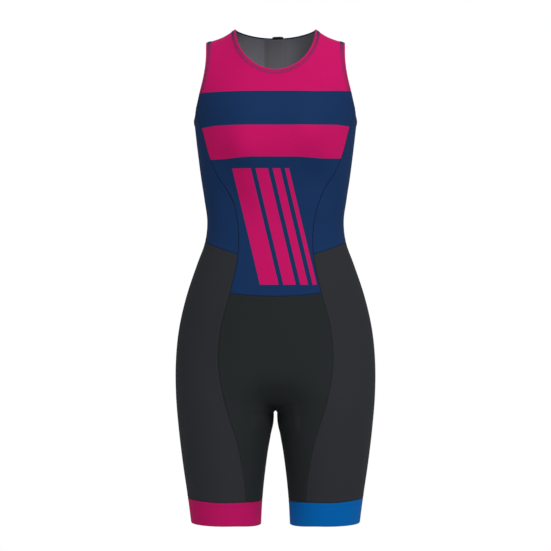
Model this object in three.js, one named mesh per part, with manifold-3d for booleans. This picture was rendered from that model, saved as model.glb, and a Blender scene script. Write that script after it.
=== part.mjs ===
// Sleeveless one-piece triathlon suit, filled out as it is worn, with no wearer in it.
// Millimetres, +Z up, front toward -Y, the wearer's left toward +X.
// The origin lies midway between the two neck-side shoulder points.
import * as THREE from 'three';
import { mergeVertices } from 'three/addons/utils/BufferGeometryUtils.js';
import Module from 'manifold-3d';

// Cloth and seams
const WALL = 1.6;
const SEAM_GAP = 0.3;
const SEAM_HALF = SEAM_GAP / 2;
const SLANT_ALLOWANCE = 1.25;

// Heights of the cut edges and seams
const ARMHOLE_CORNER_Z = -145;
const ARMHOLE_LOWEST_Z = -161;
const SLANT_SIDE_Z = -372.5;
const SLANT_CORNER_Z = -395.5;
const SLANT_CURVE = 1.6;
const WAIST_CORNER_Z = -460;
const WAIST_CENTRE_Z = -467;
const CUFF_Z = -823;
const HEM_Z = -863;

// Neck opening
const NECK_HALF = 70;
const NECK_FRONT_DROP = 78;
const NECK_BACK_DROP = 9;

// Shoulder roll
const RIDGE_Y = 8;
const FRONT_ROLL = 100;
const BACK_ROLL = 120;
const SHOULDER_TIP_X = 120.6;

// Bust
const BUST_PROUD = 14;
const BUST_X = 58;
const BUST_Z = -197;
const BUST_SPREAD = 40;
const BUST_ABOVE = 55;
const BUST_BELOW = 34;

// Spread of the two leg tubes below the waist
const LEG_CENTRE_X = 88;
const SPREAD_TOP_Z = -490;
const SPREAD_HEIGHT = 200;

// Level sizes of the filled-out form
const BODY_COLUMNS = ['z', 'half', 'front', 'back', 'power'];
const BODY = [
  [60, 150, -72, 84, 2.3],
  [-10, 150, -80, 90, 2.3],
  [-60, 150, -87, 95, 2.3],
  [-110, 149, -95, 99, 2.3],
  [-160, 142.5, -102, 102, 2.3],
  [-213, 136.3, -101, 99, 2.3],
  [-260, 130.2, -95.5, 91, 2.3],
  [-300, 124, -89.5, 82, 2.3],
  [-337, 119.2, -86, 76, 2.3],
  [-373, 122.9, -87.3, 76, 2.28],
  [-410, 136.2, -91, 81.5, 2.2],
  [-467, 155.6, -95.5, 97, 2.1],
  [-527, 169.6, -96.5, 115.5, 2],
  [-587, 175.3, -93.5, 124.5, 2],
  [-642, 174.7, -90, 118.5, 2],
  [-699, 169.6, -88, 101, 2],
  [-759, 162.1, -84, 87, 2],
  [-823, 152.6, -77, 74, 2],
  [-880, 145.2, -70.5, 64, 2],
];

// Where the two leg tubes run into each other: innermost reach of one tube, and blend radius
const CROTCH_COLUMNS = ['z', 'inner', 'blend'];
const CROTCH = [
  [-490, -120, 0],
  [-520, -112, 2.2],
  [-550, -92, 11],
  [-580, -62, 22],
  [-610, -30, 26],
  [-640, -5, 15],
  [-655, 1, 5.6],
  [-666, 4, 4],
  [-678, 4.6, 4],
  [-690, 5.9, 4],
  [-705, 8, 4],
  [-737, 13.8, 4],
  [-772, 18.4, 4],
  [-803, 21.7, 4],
  [-826, 23.5, 4],
  [-880, 26, 4],
];

// Long side seam, armhole to cuff, as distance from the centre plane; the back mirrors the front
const SEAM_COLUMNS = ['z', 'x'];
const SEAM = [
  [-145, 137.4],
  [-176, 127.8],
  [-232, 112.3],
  [-261, 99.8],
  [-286, 84.8],
  [-313, 72.8],
  [-343, 65.7],
  [-368, 63.8],
  [-395, 64.9],
  [-460, 78],
  [-518, 93.8],
  [-590, 98],
  [-651, 86.5],
  [-718, 65.5],
  [-781, 53.8],
  [-823, 50],
];

// Armhole edge above the side panel
const ARMHOLE_COLUMNS = ['z', 'x'];
const ARMHOLE = [
  [-23.5, 120.6],
  [-60, 119.3],
  [-89, 123.6],
  [-115, 129.6],
  [-145, 137.4],
];

// Height of the shoulder's top line, across from the neck
const SHOULDER_COLUMNS = ['x', 'front', 'back'];
const SHOULDER = [
  [0, 50, 22],
  [35, 32, 19],
  [55, 14, 10],
  [70, 0, 0],
  [81, -7.6, -7.6],
  [93, -14.5, -14.5],
  [105, -19, -19],
  [121, -23.5, -23.5],
  [150, -29, -29],
];

// Grid counts
const NECK_FRONT_STEPS = 7;
const NECK_BACK_STEPS = 6;
const SHOULDER_STEPS = 4;
const ARMHOLE_ROWS = 8;
const CHEST_ROWS = 11;
const WAIST_ROWS = 3;
const SIDE_STEPS = 10;
const SHORTS_STEPS = 7;
const SEAT_ROWS = 10;
const LEG_ROWS = 8;
const BAND_ROWS = 2;
const ARMHOLE_CLUSTER = 1.5;
const CROTCH_CLUSTER = 1.5;
const CROTCH_ROW_OUTER_Z = -650;

// Seat pad inside the crotch
const PAD_THICK = 6;
const PAD_STEPS = 3;
const PAD_FRONT_ROW = 7;
const PAD_BACK_ROW = 5;
const PAD_LEG_ROWS = 2;

// Centre-back zip
const ZIP_SLOT_HALF = 4;
const TAPE_HALF = 11;
const TAPE_THICK = 0.8;
const COIL_HALF = 2.7;
const COIL_DEPTH = 0.2;
const GUARD_HALF = 14;
const GUARD_THICK = 1.4;
const ZIP_END_MARGIN = 1.5;
const TAPE_DEPTH = WALL + SEAM_GAP;
const GUARD_DEPTH = TAPE_DEPTH + TAPE_THICK + SEAM_GAP;

// Garage over the top of the zip
const GARAGE_HALF = 8.85;
const GARAGE_WALL = 1;
const GARAGE_PROUD = 2.6;
const GARAGE_DROP = 10;
const GARAGE_STEPS = 6;

// Slider and pull tab
const SLIDER_Z = -29;
const SLIDER_WIDTH = 7.4;
const SLIDER_LENGTH = 10;
const SLIDER_THICK = 1.5;
const BRIDGE_WIDTH = 2;
const BRIDGE_LENGTH = 8;
const BRIDGE_RISE = 3.6;
const BRIDGE_BAR = 1.1;
const TAB_WIDTH = 7;
const TAB_LENGTH = 27;
const TAB_THICK = 1.2;
const TAB_EYE_WIDTH = 3.6;
const TAB_EYE_LENGTH = 5.4;
const TAB_LEAN = 5;

const wasm = await Module();
wasm.setup();

const mix = (a, b, t) => a + (b - a) * t;
const signedPower = (value, power) => Math.sign(value) * Math.abs(value) ** power;
const smoothest = (t) => t ** 3 * (10 - 15 * t + 6 * t * t);

// Smooth interpolation of one table column, with slopes from the neighbouring rows
function lookUp(table, columns, name, at) {
  const column = columns.indexOf(name);
  const direction = Math.sign(table[table.length - 1][0] - table[0][0]);
  const key = THREE.MathUtils.clamp(
    at * direction, table[0][0] * direction, table[table.length - 1][0] * direction) * direction;
  let row = 0;
  while (row < table.length - 2 && (key - table[row + 1][0]) * direction > 0) row += 1;
  const slope = (i) => {
    const before = table[Math.max(0, i - 1)];
    const here = table[i];
    const after = table[Math.min(table.length - 1, i + 1)];
    if (before === here) return (after[column] - here[column]) / (after[0] - here[0]);
    if (after === here) return (here[column] - before[column]) / (here[0] - before[0]);
    const first = (here[column] - before[column]) / (here[0] - before[0]);
    const second = (after[column] - here[column]) / (after[0] - here[0]);
    return mix(first, second, (here[0] - before[0]) / (after[0] - before[0]));
  };
  const [low, high] = [table[row], table[row + 1]];
  const span = high[0] - low[0];
  const t = (key - low[0]) / span;
  return (2 * t ** 3 - 3 * t ** 2 + 1) * low[column] + (t ** 3 - 2 * t ** 2 + t) * span * slope(row)
    + (3 * t ** 2 - 2 * t ** 3) * high[column] + (t ** 3 - t ** 2) * span * slope(row + 1);
}

// Everything the form needs at one level
const sectionCache = new Map();
function section(z) {
  if (sectionCache.has(z)) return sectionCache.get(z);
  const body = (name) => lookUp(BODY, BODY_COLUMNS, name, z);
  const front = body('front');
  const back = body('back');
  const spread = THREE.MathUtils.clamp((SPREAD_TOP_Z - z) / SPREAD_HEIGHT, 0, 1);
  const centre = LEG_CENTRE_X * smoothest(spread);
  const blend = Math.max(0, lookUp(CROTCH, CROTCH_COLUMNS, 'blend', z));
  const half = body('half');
  const found = {
    half,
    centre,
    blend,
    power: body('power'),
    middle: (front + back) / 2,
    depth: (back - front) / 2,
    outerReach: Math.hypot(half, blend) - centre,
    innerReach: centre - lookUp(CROTCH, CROTCH_COLUMNS, 'inner', z),
  };
  sectionCache.set(z, found);
  return found;
}

function bust(x, z, half) {
  const spreadZ = z > BUST_Z ? BUST_ABOVE : BUST_BELOW;
  const up = Math.exp(-(((z - BUST_Z) / spreadZ) ** 2) / 2);
  const cup = (centre) => Math.exp(-(((x - centre) / BUST_SPREAD) ** 2) / 2);
  const fade = Math.max(0, 1 - (x / half) ** 4);
  return BUST_PROUD * up * (cup(BUST_X) + cup(-BUST_X)) * fade;
}

// How far the shoulder roll has opened at a point: 0 on the top line, 1 below the roll
function roll(x, z, back) {
  const top = lookUp(SHOULDER, SHOULDER_COLUMNS, back ? 'back' : 'front', Math.abs(x));
  const drop = THREE.MathUtils.clamp((top - z) / (back ? BACK_ROLL : FRONT_ROLL), 0, 1);
  return Math.sqrt(1 - (1 - drop) ** 2);
}

const ridgeY = (back) => RIDGE_Y + (back ? SEAM_HALF : -SEAM_HALF);

// Point of the outer face at an angle around one side, 0 at the centre front, pi at the centre back
function formPoint(angle, z) {
  const level = section(z);
  const back = angle > Math.PI / 2;
  const sine = Math.sin(angle);
  const reach = sine >= 0 ? level.outerReach : level.innerReach;
  const shifted = level.centre + reach * signedPower(sine, 2 / level.power);
  let x = Math.sqrt(Math.max(0, shifted ** 2 - level.blend ** 2));
  if (x < 1e-3) x = 0;
  let y = level.middle - level.depth * signedPower(Math.cos(angle), 2 / level.power);
  if (!back) y -= bust(x, z, level.half);
  const edge = ridgeY(back);
  y = edge + (y - edge) * roll(x, z, back);
  return new THREE.Vector3(x, y, z);
}

// Level set of the same form, for its normals
function formField(x, y, z, back) {
  const level = section(z);
  const edge = ridgeY(back);
  let flat = edge + (y - edge) / roll(x, z, back);
  if (!back) flat += bust(x, z, level.half);
  const across = Math.hypot(x, level.blend) - level.centre;
  const reach = across >= 0 ? level.outerReach : level.innerReach;
  return (Math.abs(across) / reach) ** level.power
    + (Math.abs(flat - level.middle) / level.depth) ** level.power;
}

const RIDGE_SKIP = 0.05;
const DIFFERENCE = 1e-4;
function formNormal(angle, z) {
  const back = angle > Math.PI / 2;
  let at = formPoint(angle, z);
  if (roll(at.x, z, back) < RIDGE_SKIP) at = formPoint(angle, z - RIDGE_SKIP);
  const change = (dx, dy, dz) => formField(at.x + dx, at.y + dy, at.z + dz, back)
    - formField(at.x - dx, at.y - dy, at.z - dz, back);
  return new THREE.Vector3(
    change(DIFFERENCE, 0, 0), change(0, DIFFERENCE, 0), change(0, 0, DIFFERENCE)).normalize();
}

// Angle at which the form passes a given distance from the centre plane
function angleAt(x, z, back) {
  const level = section(z);
  const across = Math.hypot(x, level.blend) - level.centre;
  const reach = across >= 0 ? level.outerReach : level.innerReach;
  const sine = THREE.MathUtils.clamp(signedPower(across / reach, level.power / 2), -1, 1);
  return back ? Math.PI - Math.asin(sine) : Math.asin(sine);
}

// The same angle moved along the cloth by a distance
function angleBeside(angle, z, distance) {
  const step = 1e-3;
  const metric = formPoint(angle + step, z).distanceTo(formPoint(angle - step, z)) / (2 * step);
  return angle + distance / metric;
}

const seamX = (z) => lookUp(SEAM, SEAM_COLUMNS, 'x', z);
const armholeX = (z) => lookUp(ARMHOLE, ARMHOLE_COLUMNS, 'x', z);
const mirrorAngle = (angle, back) => (back ? Math.PI - angle : angle);

// Side seam as an angle from the centre, moved by part of the gap toward the centre or the side
function seamAngle(z, toward) {
  return angleBeside(angleAt(seamX(z), z, false), z, toward * SEAM_HALF * SLANT_ALLOWANCE);
}
function seamAngleBack(z, toward) {
  const angle = angleAt(seamX(z), z, true);
  return Math.PI - angleBeside(angle, z, -toward * SEAM_HALF * SLANT_ALLOWANCE);
}
const seamFromCentre = (z, toward, back) => (back ? seamAngleBack : seamAngle)(z, toward);

// Inner limit of a half: the centre plane above the crotch, the inseam below it
function innerAngle(z, gap) {
  const limit = Math.PI / 2 - gap / section(z).depth;
  return Math.max(angleAt(0, z, false), -limit);
}

// Level of the crotch point for a given half gap
function crotchLevel(gap) {
  let [high, low] = [-600, -700];
  for (let i = 0; i < 60; i += 1) {
    const middle = (high + low) / 2;
    const open = angleAt(0, middle, false) > -(Math.PI / 2 - gap / section(middle).depth);
    if (open) high = middle;
    else low = middle;
  }
  return high;
}

// A sheet of cloth: outer points with their normals, made into a closed solid
class Sheet {
  constructor() {
    this.points = [];
    this.normals = [];
    this.faces = [];
    this.known = new Map();
  }

  vertex(point, normal) {
    const key = point.toArray().map((value) => Math.round(value * 1000)).join(' ');
    if (!this.known.has(key)) {
      this.known.set(key, this.points.length);
      this.points.push(point);
      this.normals.push(normal);
    }
    return this.known.get(key);
  }

  face(a, b, c) {
    if (a !== b && b !== c && c !== a) this.faces.push([a, b, c]);
  }

  // Rows of angle and level samples; side -1 mirrors them to the wearer's right
  grid(rows, columns, sample, side, flip) {
    const index = [];
    for (let row = 0; row <= rows; row += 1) {
      index.push([]);
      for (let column = 0; column <= columns; column += 1) {
        const [angle, z] = sample(row, column);
        const point = formPoint(angle, z);
        const normal = formNormal(angle, z);
        point.x *= side;
        normal.x *= side;
        index[row].push(this.vertex(point, normal));
      }
    }
    for (let row = 0; row < rows; row += 1) {
      for (let column = 0; column < columns; column += 1) {
        const a = index[row][column];
        const b = index[row + 1][column];
        const c = index[row + 1][column + 1];
        const d = index[row][column + 1];
        const turned = (side < 0) !== flip;
        const add = (i, j, k) => (turned ? this.face(i, k, j) : this.face(i, j, k));
        const straight = this.points[a].distanceTo(this.points[c]);
        if (straight <= this.points[b].distanceTo(this.points[d])) {
          add(a, b, c);
          add(a, c, d);
        } else {
          add(a, b, d);
          add(b, c, d);
        }
      }
    }
  }

  solid(outerDepth, innerDepth) {
    const count = this.points.length;
    const at = (depth) => this.points.map(
      (point, i) => point.clone().addScaledVector(this.normals[i], -depth));
    const positions = [...at(outerDepth), ...at(innerDepth)];
    const edges = new Set(this.faces.flatMap(([a, b, c]) => [`${a} ${b}`, `${b} ${c}`, `${c} ${a}`]));
    const faces = [];
    this.faces.forEach(([a, b, c]) => {
      faces.push([a, b, c], [a + count, c + count, b + count]);
      [[a, b], [b, c], [c, a]].forEach(([i, j]) => {
        if (!edges.has(`${j} ${i}`)) faces.push([j, i, i + count], [j, i + count, j + count]);
      });
    });
    return closedGeometry(positions, faces);
  }
}

function closedGeometry(positions, faces) {
  const geometry = new THREE.BufferGeometry();
  const flat = positions.flatMap((point) => point.toArray());
  geometry.setAttribute('position', new THREE.Float32BufferAttribute(flat, 3));
  geometry.setIndex(faces.flat());
  return geometry;
}

// Rings of equal count joined end to end; the outline closes the two ends
function loft(rings, outline) {
  const size = outline.length;
  const faces = [];
  for (let ring = 0; ring < rings.length - 1; ring += 1) {
    for (let i = 0; i < size; i += 1) {
      const j = (i + 1) % size;
      const [a, b] = [ring * size + i, ring * size + j];
      faces.push([a, b, b + size], [a, b + size, a + size]);
    }
  }
  const last = (rings.length - 1) * size;
  THREE.ShapeUtils.triangulateShape(outline, []).forEach(([a, b, c]) => {
    faces.push([a, c, b], [a + last, b + last, c + last]);
  });
  const positions = rings.flat();
  let volume = 0;
  faces.forEach(([a, b, c]) => {
    volume += positions[a].dot(positions[b].clone().cross(positions[c]));
  });
  const outward = volume > 0 ? faces : faces.map(([a, b, c]) => [a, c, b]);
  return closedGeometry(positions, outward);
}

function cloth(color, roughness = 0.82) {
  return new THREE.MeshStandardMaterial({ color, roughness, metalness: 0 });
}

const suit = new THREE.Group();
function addMesh(name, geometry, material, parent = suit) {
  geometry.computeVertexNormals();
  const mesh = new THREE.Mesh(geometry, material);
  mesh.name = name;
  parent.add(mesh);
  return mesh;
}

// Levels down the outer edge of the top panels
const tipZ = lookUp(SHOULDER, SHOULDER_COLUMNS, 'front', SHOULDER_TIP_X);
const edgeLevels = [];
for (let i = 0; i <= ARMHOLE_ROWS; i += 1) {
  edgeLevels.push(mix(tipZ, ARMHOLE_CORNER_Z, (i / ARMHOLE_ROWS) ** ARMHOLE_CLUSTER));
}
for (let i = 1; i <= CHEST_ROWS; i += 1) {
  edgeLevels.push(mix(ARMHOLE_CORNER_Z, SLANT_CORNER_Z, i / CHEST_ROWS));
}
for (let i = 1; i <= WAIST_ROWS; i += 1) {
  edgeLevels.push(mix(SLANT_CORNER_Z, WAIST_CORNER_Z + SEAM_HALF, i / WAIST_ROWS));
}
const CORNER_ROW = ARMHOLE_ROWS;
const SLANT_ROW = ARMHOLE_ROWS + CHEST_ROWS;
const TOP_ROWS = SLANT_ROW + WAIST_ROWS;

// Levels of the shorts, along the centre line or inseam and along the side seam
const SHORTS_ROWS = SEAT_ROWS + LEG_ROWS;
const crotchZ = crotchLevel(SEAM_HALF);
const innerLevels = [];
const outerLevels = [];
for (let i = 0; i <= SHORTS_ROWS; i += 1) {
  const seat = i / SEAT_ROWS;
  const leg = (i - SEAT_ROWS) / LEG_ROWS;
  const waistCentre = WAIST_CENTRE_Z - SEAM_HALF;
  const waistCorner = WAIST_CORNER_Z - SEAM_HALF;
  const cuff = CUFF_Z + SEAM_HALF;
  if (i <= SEAT_ROWS) {
    innerLevels.push(mix(crotchZ, waistCentre, (1 - seat) ** CROTCH_CLUSTER));
    outerLevels.push(mix(waistCorner, CROTCH_ROW_OUTER_Z, seat));
  } else {
    innerLevels.push(mix(crotchZ, cuff, leg));
    outerLevels.push(mix(CROTCH_ROW_OUTER_Z, cuff, leg));
  }
}

function neckEdgeZ(x, back) {
  const across = Math.min(1, x / NECK_HALF);
  return back ? -NECK_BACK_DROP * (1 - across ** 2) : -NECK_FRONT_DROP * Math.sqrt(1 - across ** 2);
}

function topEdgeZ(x, back) {
  if (x < NECK_HALF) return neckEdgeZ(x, back);
  return lookUp(SHOULDER, SHOULDER_COLUMNS, 'front', x);
}

// Angle of the outer edge of a top panel, measured from the centre
function outerEdge(z, back) {
  if (z <= ARMHOLE_CORNER_Z) return seamFromCentre(z, -1, back);
  const angle = angleAt(armholeX(z), z, back);
  return mirrorAngle(angle, back);
}

// Columns of a top panel, by where they meet the neck or the shoulder seam
function topColumns(back) {
  const inner = back ? ZIP_SLOT_HALF : 0;
  const steps = back ? NECK_BACK_STEPS : NECK_FRONT_STEPS;
  const columns = [];
  for (let i = 0; i <= steps; i += 1) {
    const share = i / steps;
    columns.push(back ? mix(inner, NECK_HALF, share) : NECK_HALF * Math.sin(share * Math.PI / 2));
  }
  for (let i = 1; i <= SHOULDER_STEPS; i += 1) {
    columns.push(mix(NECK_HALF, SHOULDER_TIP_X, i / SHOULDER_STEPS));
  }
  return columns;
}

function topSampler(back) {
  const columns = topColumns(back);
  const last = columns.length - 1;
  const innerEdge = (z) => (back ? mirrorAngle(angleAt(ZIP_SLOT_HALF, z, true), true) : 0);
  const start = innerEdge(WAIST_CENTRE_Z) / outerEdge(WAIST_CENTRE_Z, back);
  const waist = (share) => mix(
    WAIST_CENTRE_Z, WAIST_CORNER_Z, mix(start, 1, share) ** 2) + SEAM_HALF;
  const sample = (row, column) => {
    const share = column / last;
    const drop = (edgeLevels[0] - edgeLevels[row]) / (edgeLevels[0] - edgeLevels[TOP_ROWS]);
    const topX = columns[column];
    const topZ = topEdgeZ(topX, back);
    const z = mix(topZ, waist(share), drop);
    const topAngle = mirrorAngle(angleAt(topX, topZ, back), back);
    const topShare = (topAngle - innerEdge(topZ)) / (outerEdge(topZ, back) - innerEdge(topZ));
    const angle = mix(innerEdge(z), outerEdge(z, back), mix(topShare, share, drop));
    return [mirrorAngle(angle, back), z];
  };
  return { sample, last };
}

// Front of the top, one piece
const frontTop = new Sheet();
const frontSampler = topSampler(false);
[1, -1].forEach((side) => {
  frontTop.grid(TOP_ROWS, frontSampler.last, frontSampler.sample, side, false);
});
addMesh('front_top', frontTop.solid(0, WALL), cloth('#1a3054'));

// Back of the top, two halves
const backSampler = topSampler(true);
[['right', -1], ['left', 1]].forEach(([name, side]) => {
  const sheet = new Sheet();
  sheet.grid(TOP_ROWS, backSampler.last, backSampler.sample, side, true);
  addMesh(`back_top_${name}`, sheet.solid(0, WALL), cloth('#1a3054'));
});

// Share across a side panel, front seam to back seam
const sideAngle = (z, share) => mix(seamAngle(z, 1), Math.PI - seamAngleBack(z, 1), share);
const slantZ = (share) => mix(
  SLANT_SIDE_Z, SLANT_CORNER_Z, Math.abs(2 * share - 1) ** SLANT_CURVE);

[['right', -1], ['left', 1]].forEach(([name, side]) => {
  const upper = new Sheet();
  upper.grid(CHEST_ROWS, SIDE_STEPS, (row, column) => {
    const share = column / SIDE_STEPS;
    const top = mix(ARMHOLE_LOWEST_Z, ARMHOLE_CORNER_Z, (2 * share - 1) ** 2);
    const z = mix(top, slantZ(share) + SEAM_HALF, row / CHEST_ROWS);
    return [sideAngle(z, share), z];
  }, side, false);
  addMesh(`side_top_${name}`, upper.solid(0, WALL), cloth('#1a3054'));

  const lower = new Sheet();
  const levels = [...edgeLevels.slice(SLANT_ROW, TOP_ROWS), ...outerLevels];
  const rows = levels.length - 1;
  lower.grid(rows, SIDE_STEPS, (row, column) => {
    const share = column / SIDE_STEPS;
    const drop = (levels[0] - levels[row]) / (levels[0] - levels[rows]);
    const z = mix(slantZ(share) - SEAM_HALF, levels[rows], drop);
    return [sideAngle(z, share), z];
  }, side, false);
  addMesh(`side_leg_${name}`, lower.solid(0, WALL), cloth('#2c2e32'));
});

// Front and back of the shorts, each one piece over both legs
function shortsSample(back, gap) {
  return (row, column) => {
    const share = column / SHORTS_STEPS;
    const bend = mix(2, 1, Math.min(1, row / SEAT_ROWS));
    const z = mix(innerLevels[row], outerLevels[row], share ** bend);
    const angle = mix(innerAngle(z, gap), seamFromCentre(z, -1, back), share);
    return [mirrorAngle(column === 0 ? innerAngle(z, gap) : angle, back), z];
  };
}

[['shorts_front', false], ['shorts_back', true]].forEach(([name, back]) => {
  const sheet = new Sheet();
  [1, -1].forEach((side) => {
    sheet.grid(SHORTS_ROWS, SHORTS_STEPS, shortsSample(back, SEAM_HALF), side, back);
  });
  addMesh(name, sheet.solid(0, WALL), cloth('#25282a'));
});

// Seat pad, made from the points of the shorts and moved in
const pad = new Sheet();
[[false, PAD_FRONT_ROW], [true, PAD_BACK_ROW]].forEach(([back, firstRow]) => {
  const sample = shortsSample(back, 0);
  [1, -1].forEach((side) => {
    pad.grid(
      SEAT_ROWS + PAD_LEG_ROWS - firstRow, PAD_STEPS,
      (row, column) => sample(row + firstRow, column), side, back);
  });
});
const padDepth = WALL + SEAM_GAP;
addMesh('chamois_pad', pad.solid(padDepth, padDepth + PAD_THICK), cloth('#3a3d44', 0.9));

// Elastic bands at the leg hems, with the seams' columns of the panels above
const bandAngles = [];
for (let i = 0; i < SHORTS_STEPS; i += 1) {
  bandAngles.push(mix(-Math.PI / 2, seamAngle(CUFF_Z, 0), i / SHORTS_STEPS));
}
for (let i = 0; i < SIDE_STEPS; i += 1) {
  bandAngles.push(mix(seamAngle(CUFF_Z, 0), Math.PI - seamAngleBack(CUFF_Z, 0), i / SIDE_STEPS));
}
for (let i = 0; i <= SHORTS_STEPS; i += 1) {
  bandAngles.push(mix(Math.PI - seamAngleBack(CUFF_Z, 0), 1.5 * Math.PI, i / SHORTS_STEPS));
}
[['right', -1, '#a5163f'], ['left', 1, '#02648f']].forEach(([name, side, color]) => {
  const sheet = new Sheet();
  sheet.grid(BAND_ROWS, bandAngles.length - 1, (row, column) => {
    const z = mix(CUFF_Z - SEAM_HALF, HEM_Z, row / BAND_ROWS);
    return [bandAngles[column], z];
  }, side, false);
  addMesh(`leg_band_${name}`, sheet.solid(0, WALL), cloth(color));
});

// A point at a depth below the outer face of the back, at a distance from the centre plane
function backPoint(x, z, depth) {
  const angle = angleAt(Math.abs(x), z, true);
  const point = formPoint(angle, z).addScaledVector(formNormal(angle, z), -depth);
  if (x < 0) point.x *= -1;
  return point;
}

const zipLevels = edgeLevels.map((level, row) => backSampler.sample(row, 0)[1]);
zipLevels[0] -= ZIP_END_MARGIN;
zipLevels[TOP_ROWS] += ZIP_END_MARGIN;

function backStrip(corners) {
  const outline = corners.map(([x, depth]) => new THREE.Vector2(x, depth));
  return loft(zipLevels.map((z) => corners.map(([x, depth]) => backPoint(x, z, depth))), outline);
}

addMesh('zip_tape', backStrip([
  [-TAPE_HALF, TAPE_DEPTH],
  [-COIL_HALF, TAPE_DEPTH],
  [-COIL_HALF, COIL_DEPTH],
  [COIL_HALF, COIL_DEPTH],
  [COIL_HALF, TAPE_DEPTH],
  [TAPE_HALF, TAPE_DEPTH],
  [TAPE_HALF, TAPE_DEPTH + TAPE_THICK],
  [-TAPE_HALF, TAPE_DEPTH + TAPE_THICK],
]), cloth('#15161a', 0.6));

const guardEdge = GUARD_DEPTH + GUARD_THICK;
addMesh('zip_guard', backStrip([
  [-GUARD_HALF, GUARD_DEPTH],
  [-GUARD_HALF / 3, GUARD_DEPTH],
  [GUARD_HALF / 3, GUARD_DEPTH],
  [GUARD_HALF, GUARD_DEPTH],
  [GUARD_HALF, guardEdge],
  [GUARD_HALF / 3, guardEdge],
  [-GUARD_HALF / 3, guardEdge],
  [-GUARD_HALF, guardEdge],
]), cloth('#535257'));

// Garage folded over the back neck edge
const foldOut = -SEAM_GAP - GARAGE_WALL;
const foldIn = guardEdge + SEAM_GAP + GARAGE_WALL;
function garageRing(x) {
  const arch = GARAGE_PROUD * Math.sqrt(1 - 0.75 * (x / GARAGE_HALF) ** 4);
  const height = Math.max(arch, GARAGE_WALL + SEAM_GAP);
  const edgeZ = neckEdgeZ(Math.abs(x), true);
  const normal = formNormal(angleAt(Math.abs(x), edgeZ, true), edgeZ);
  if (x < 0) normal.x *= -1;
  const up = new THREE.Vector3(0, 0, 1).addScaledVector(normal, -normal.z).normalize();
  const point = (depth, rise) => {
    const base = backPoint(x, edgeZ + Math.min(0, rise), depth);
    return base.addScaledVector(up, Math.max(0, rise));
  };
  const top = height - GARAGE_WALL;
  const middle = (foldOut + foldIn) / 2;
  return [
    point(foldOut, -GARAGE_DROP),
    point(foldOut, -GARAGE_DROP / 2),
    point(foldOut, top * 0.6),
    point(foldOut + GARAGE_WALL, height - 0.3),
    point(middle, height),
    point(foldIn - GARAGE_WALL, height - 0.3),
    point(foldIn, top * 0.6),
    point(foldIn, -GARAGE_DROP / 2),
    point(foldIn, -GARAGE_DROP),
    point(foldIn - GARAGE_WALL, -GARAGE_DROP),
    point(foldIn - GARAGE_WALL, -GARAGE_DROP / 2),
    point(foldIn - GARAGE_WALL, top * 0.6),
    point(foldIn - 2 * GARAGE_WALL, top),
    point(foldOut + 2 * GARAGE_WALL, top),
    point(foldOut + GARAGE_WALL, top * 0.6),
    point(foldOut + GARAGE_WALL, -GARAGE_DROP / 2),
    point(foldOut + GARAGE_WALL, -GARAGE_DROP),
  ];
}
const garageRings = [];
for (let i = 0; i <= GARAGE_STEPS; i += 1) {
  garageRings.push(garageRing(mix(-GARAGE_HALF, GARAGE_HALF, i / GARAGE_STEPS)));
}
const garageOutline = garageRings[GARAGE_STEPS / 2].map((point) => new THREE.Vector2(point.y, point.z));
addMesh('zip_garage', loft(garageRings, garageOutline), cloth('#17181b', 0.7));

// Frame at the slider: X across, Y down along the coil, Z away from the back
const sliderNormal = formNormal(Math.PI, SLIDER_Z);
const sliderDown = new THREE.Vector3(0, 0, -1).addScaledVector(sliderNormal, sliderNormal.z).normalize();
const sliderAcross = new THREE.Vector3().crossVectors(sliderDown, sliderNormal);
const sliderFrame = new THREE.Group();
sliderFrame.quaternion.setFromRotationMatrix(
  new THREE.Matrix4().makeBasis(sliderAcross, sliderDown, sliderNormal));
sliderFrame.position.copy(formPoint(Math.PI, SLIDER_Z)).addScaledVector(sliderNormal, SEAM_GAP);
suit.add(sliderFrame);

function toManifold(geometry) {
  const bare = geometry.clone();
  bare.deleteAttribute('normal');
  bare.deleteAttribute('uv');
  const merged = mergeVertices(bare);
  return new wasm.Manifold(new wasm.Mesh({
    numProp: 3,
    vertProperties: new Float32Array(merged.attributes.position.array),
    triVerts: new Uint32Array(merged.index.array),
  }));
}

function fromManifold(solid) {
  const mesh = solid.getMesh();
  const geometry = new THREE.BufferGeometry();
  geometry.setAttribute('position', new THREE.Float32BufferAttribute(mesh.vertProperties, 3));
  geometry.setIndex(Array.from(mesh.triVerts));
  return geometry;
}

function roundedOutline(width, height, radius, PathClass = THREE.Shape) {
  const [x, y] = [width / 2, height / 2];
  const path = new PathClass();
  path.moveTo(-x + radius, -y);
  path.lineTo(x - radius, -y);
  path.absarc(x - radius, -y + radius, radius, -Math.PI / 2, 0, false);
  path.lineTo(x, y - radius);
  path.absarc(x - radius, y - radius, radius, 0, Math.PI / 2, false);
  path.lineTo(-x + radius, y);
  path.absarc(-x + radius, y - radius, radius, Math.PI / 2, Math.PI, false);
  path.lineTo(-x, -y + radius);
  path.absarc(-x + radius, -y + radius, radius, Math.PI, 1.5 * Math.PI, false);
  return path;
}

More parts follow.
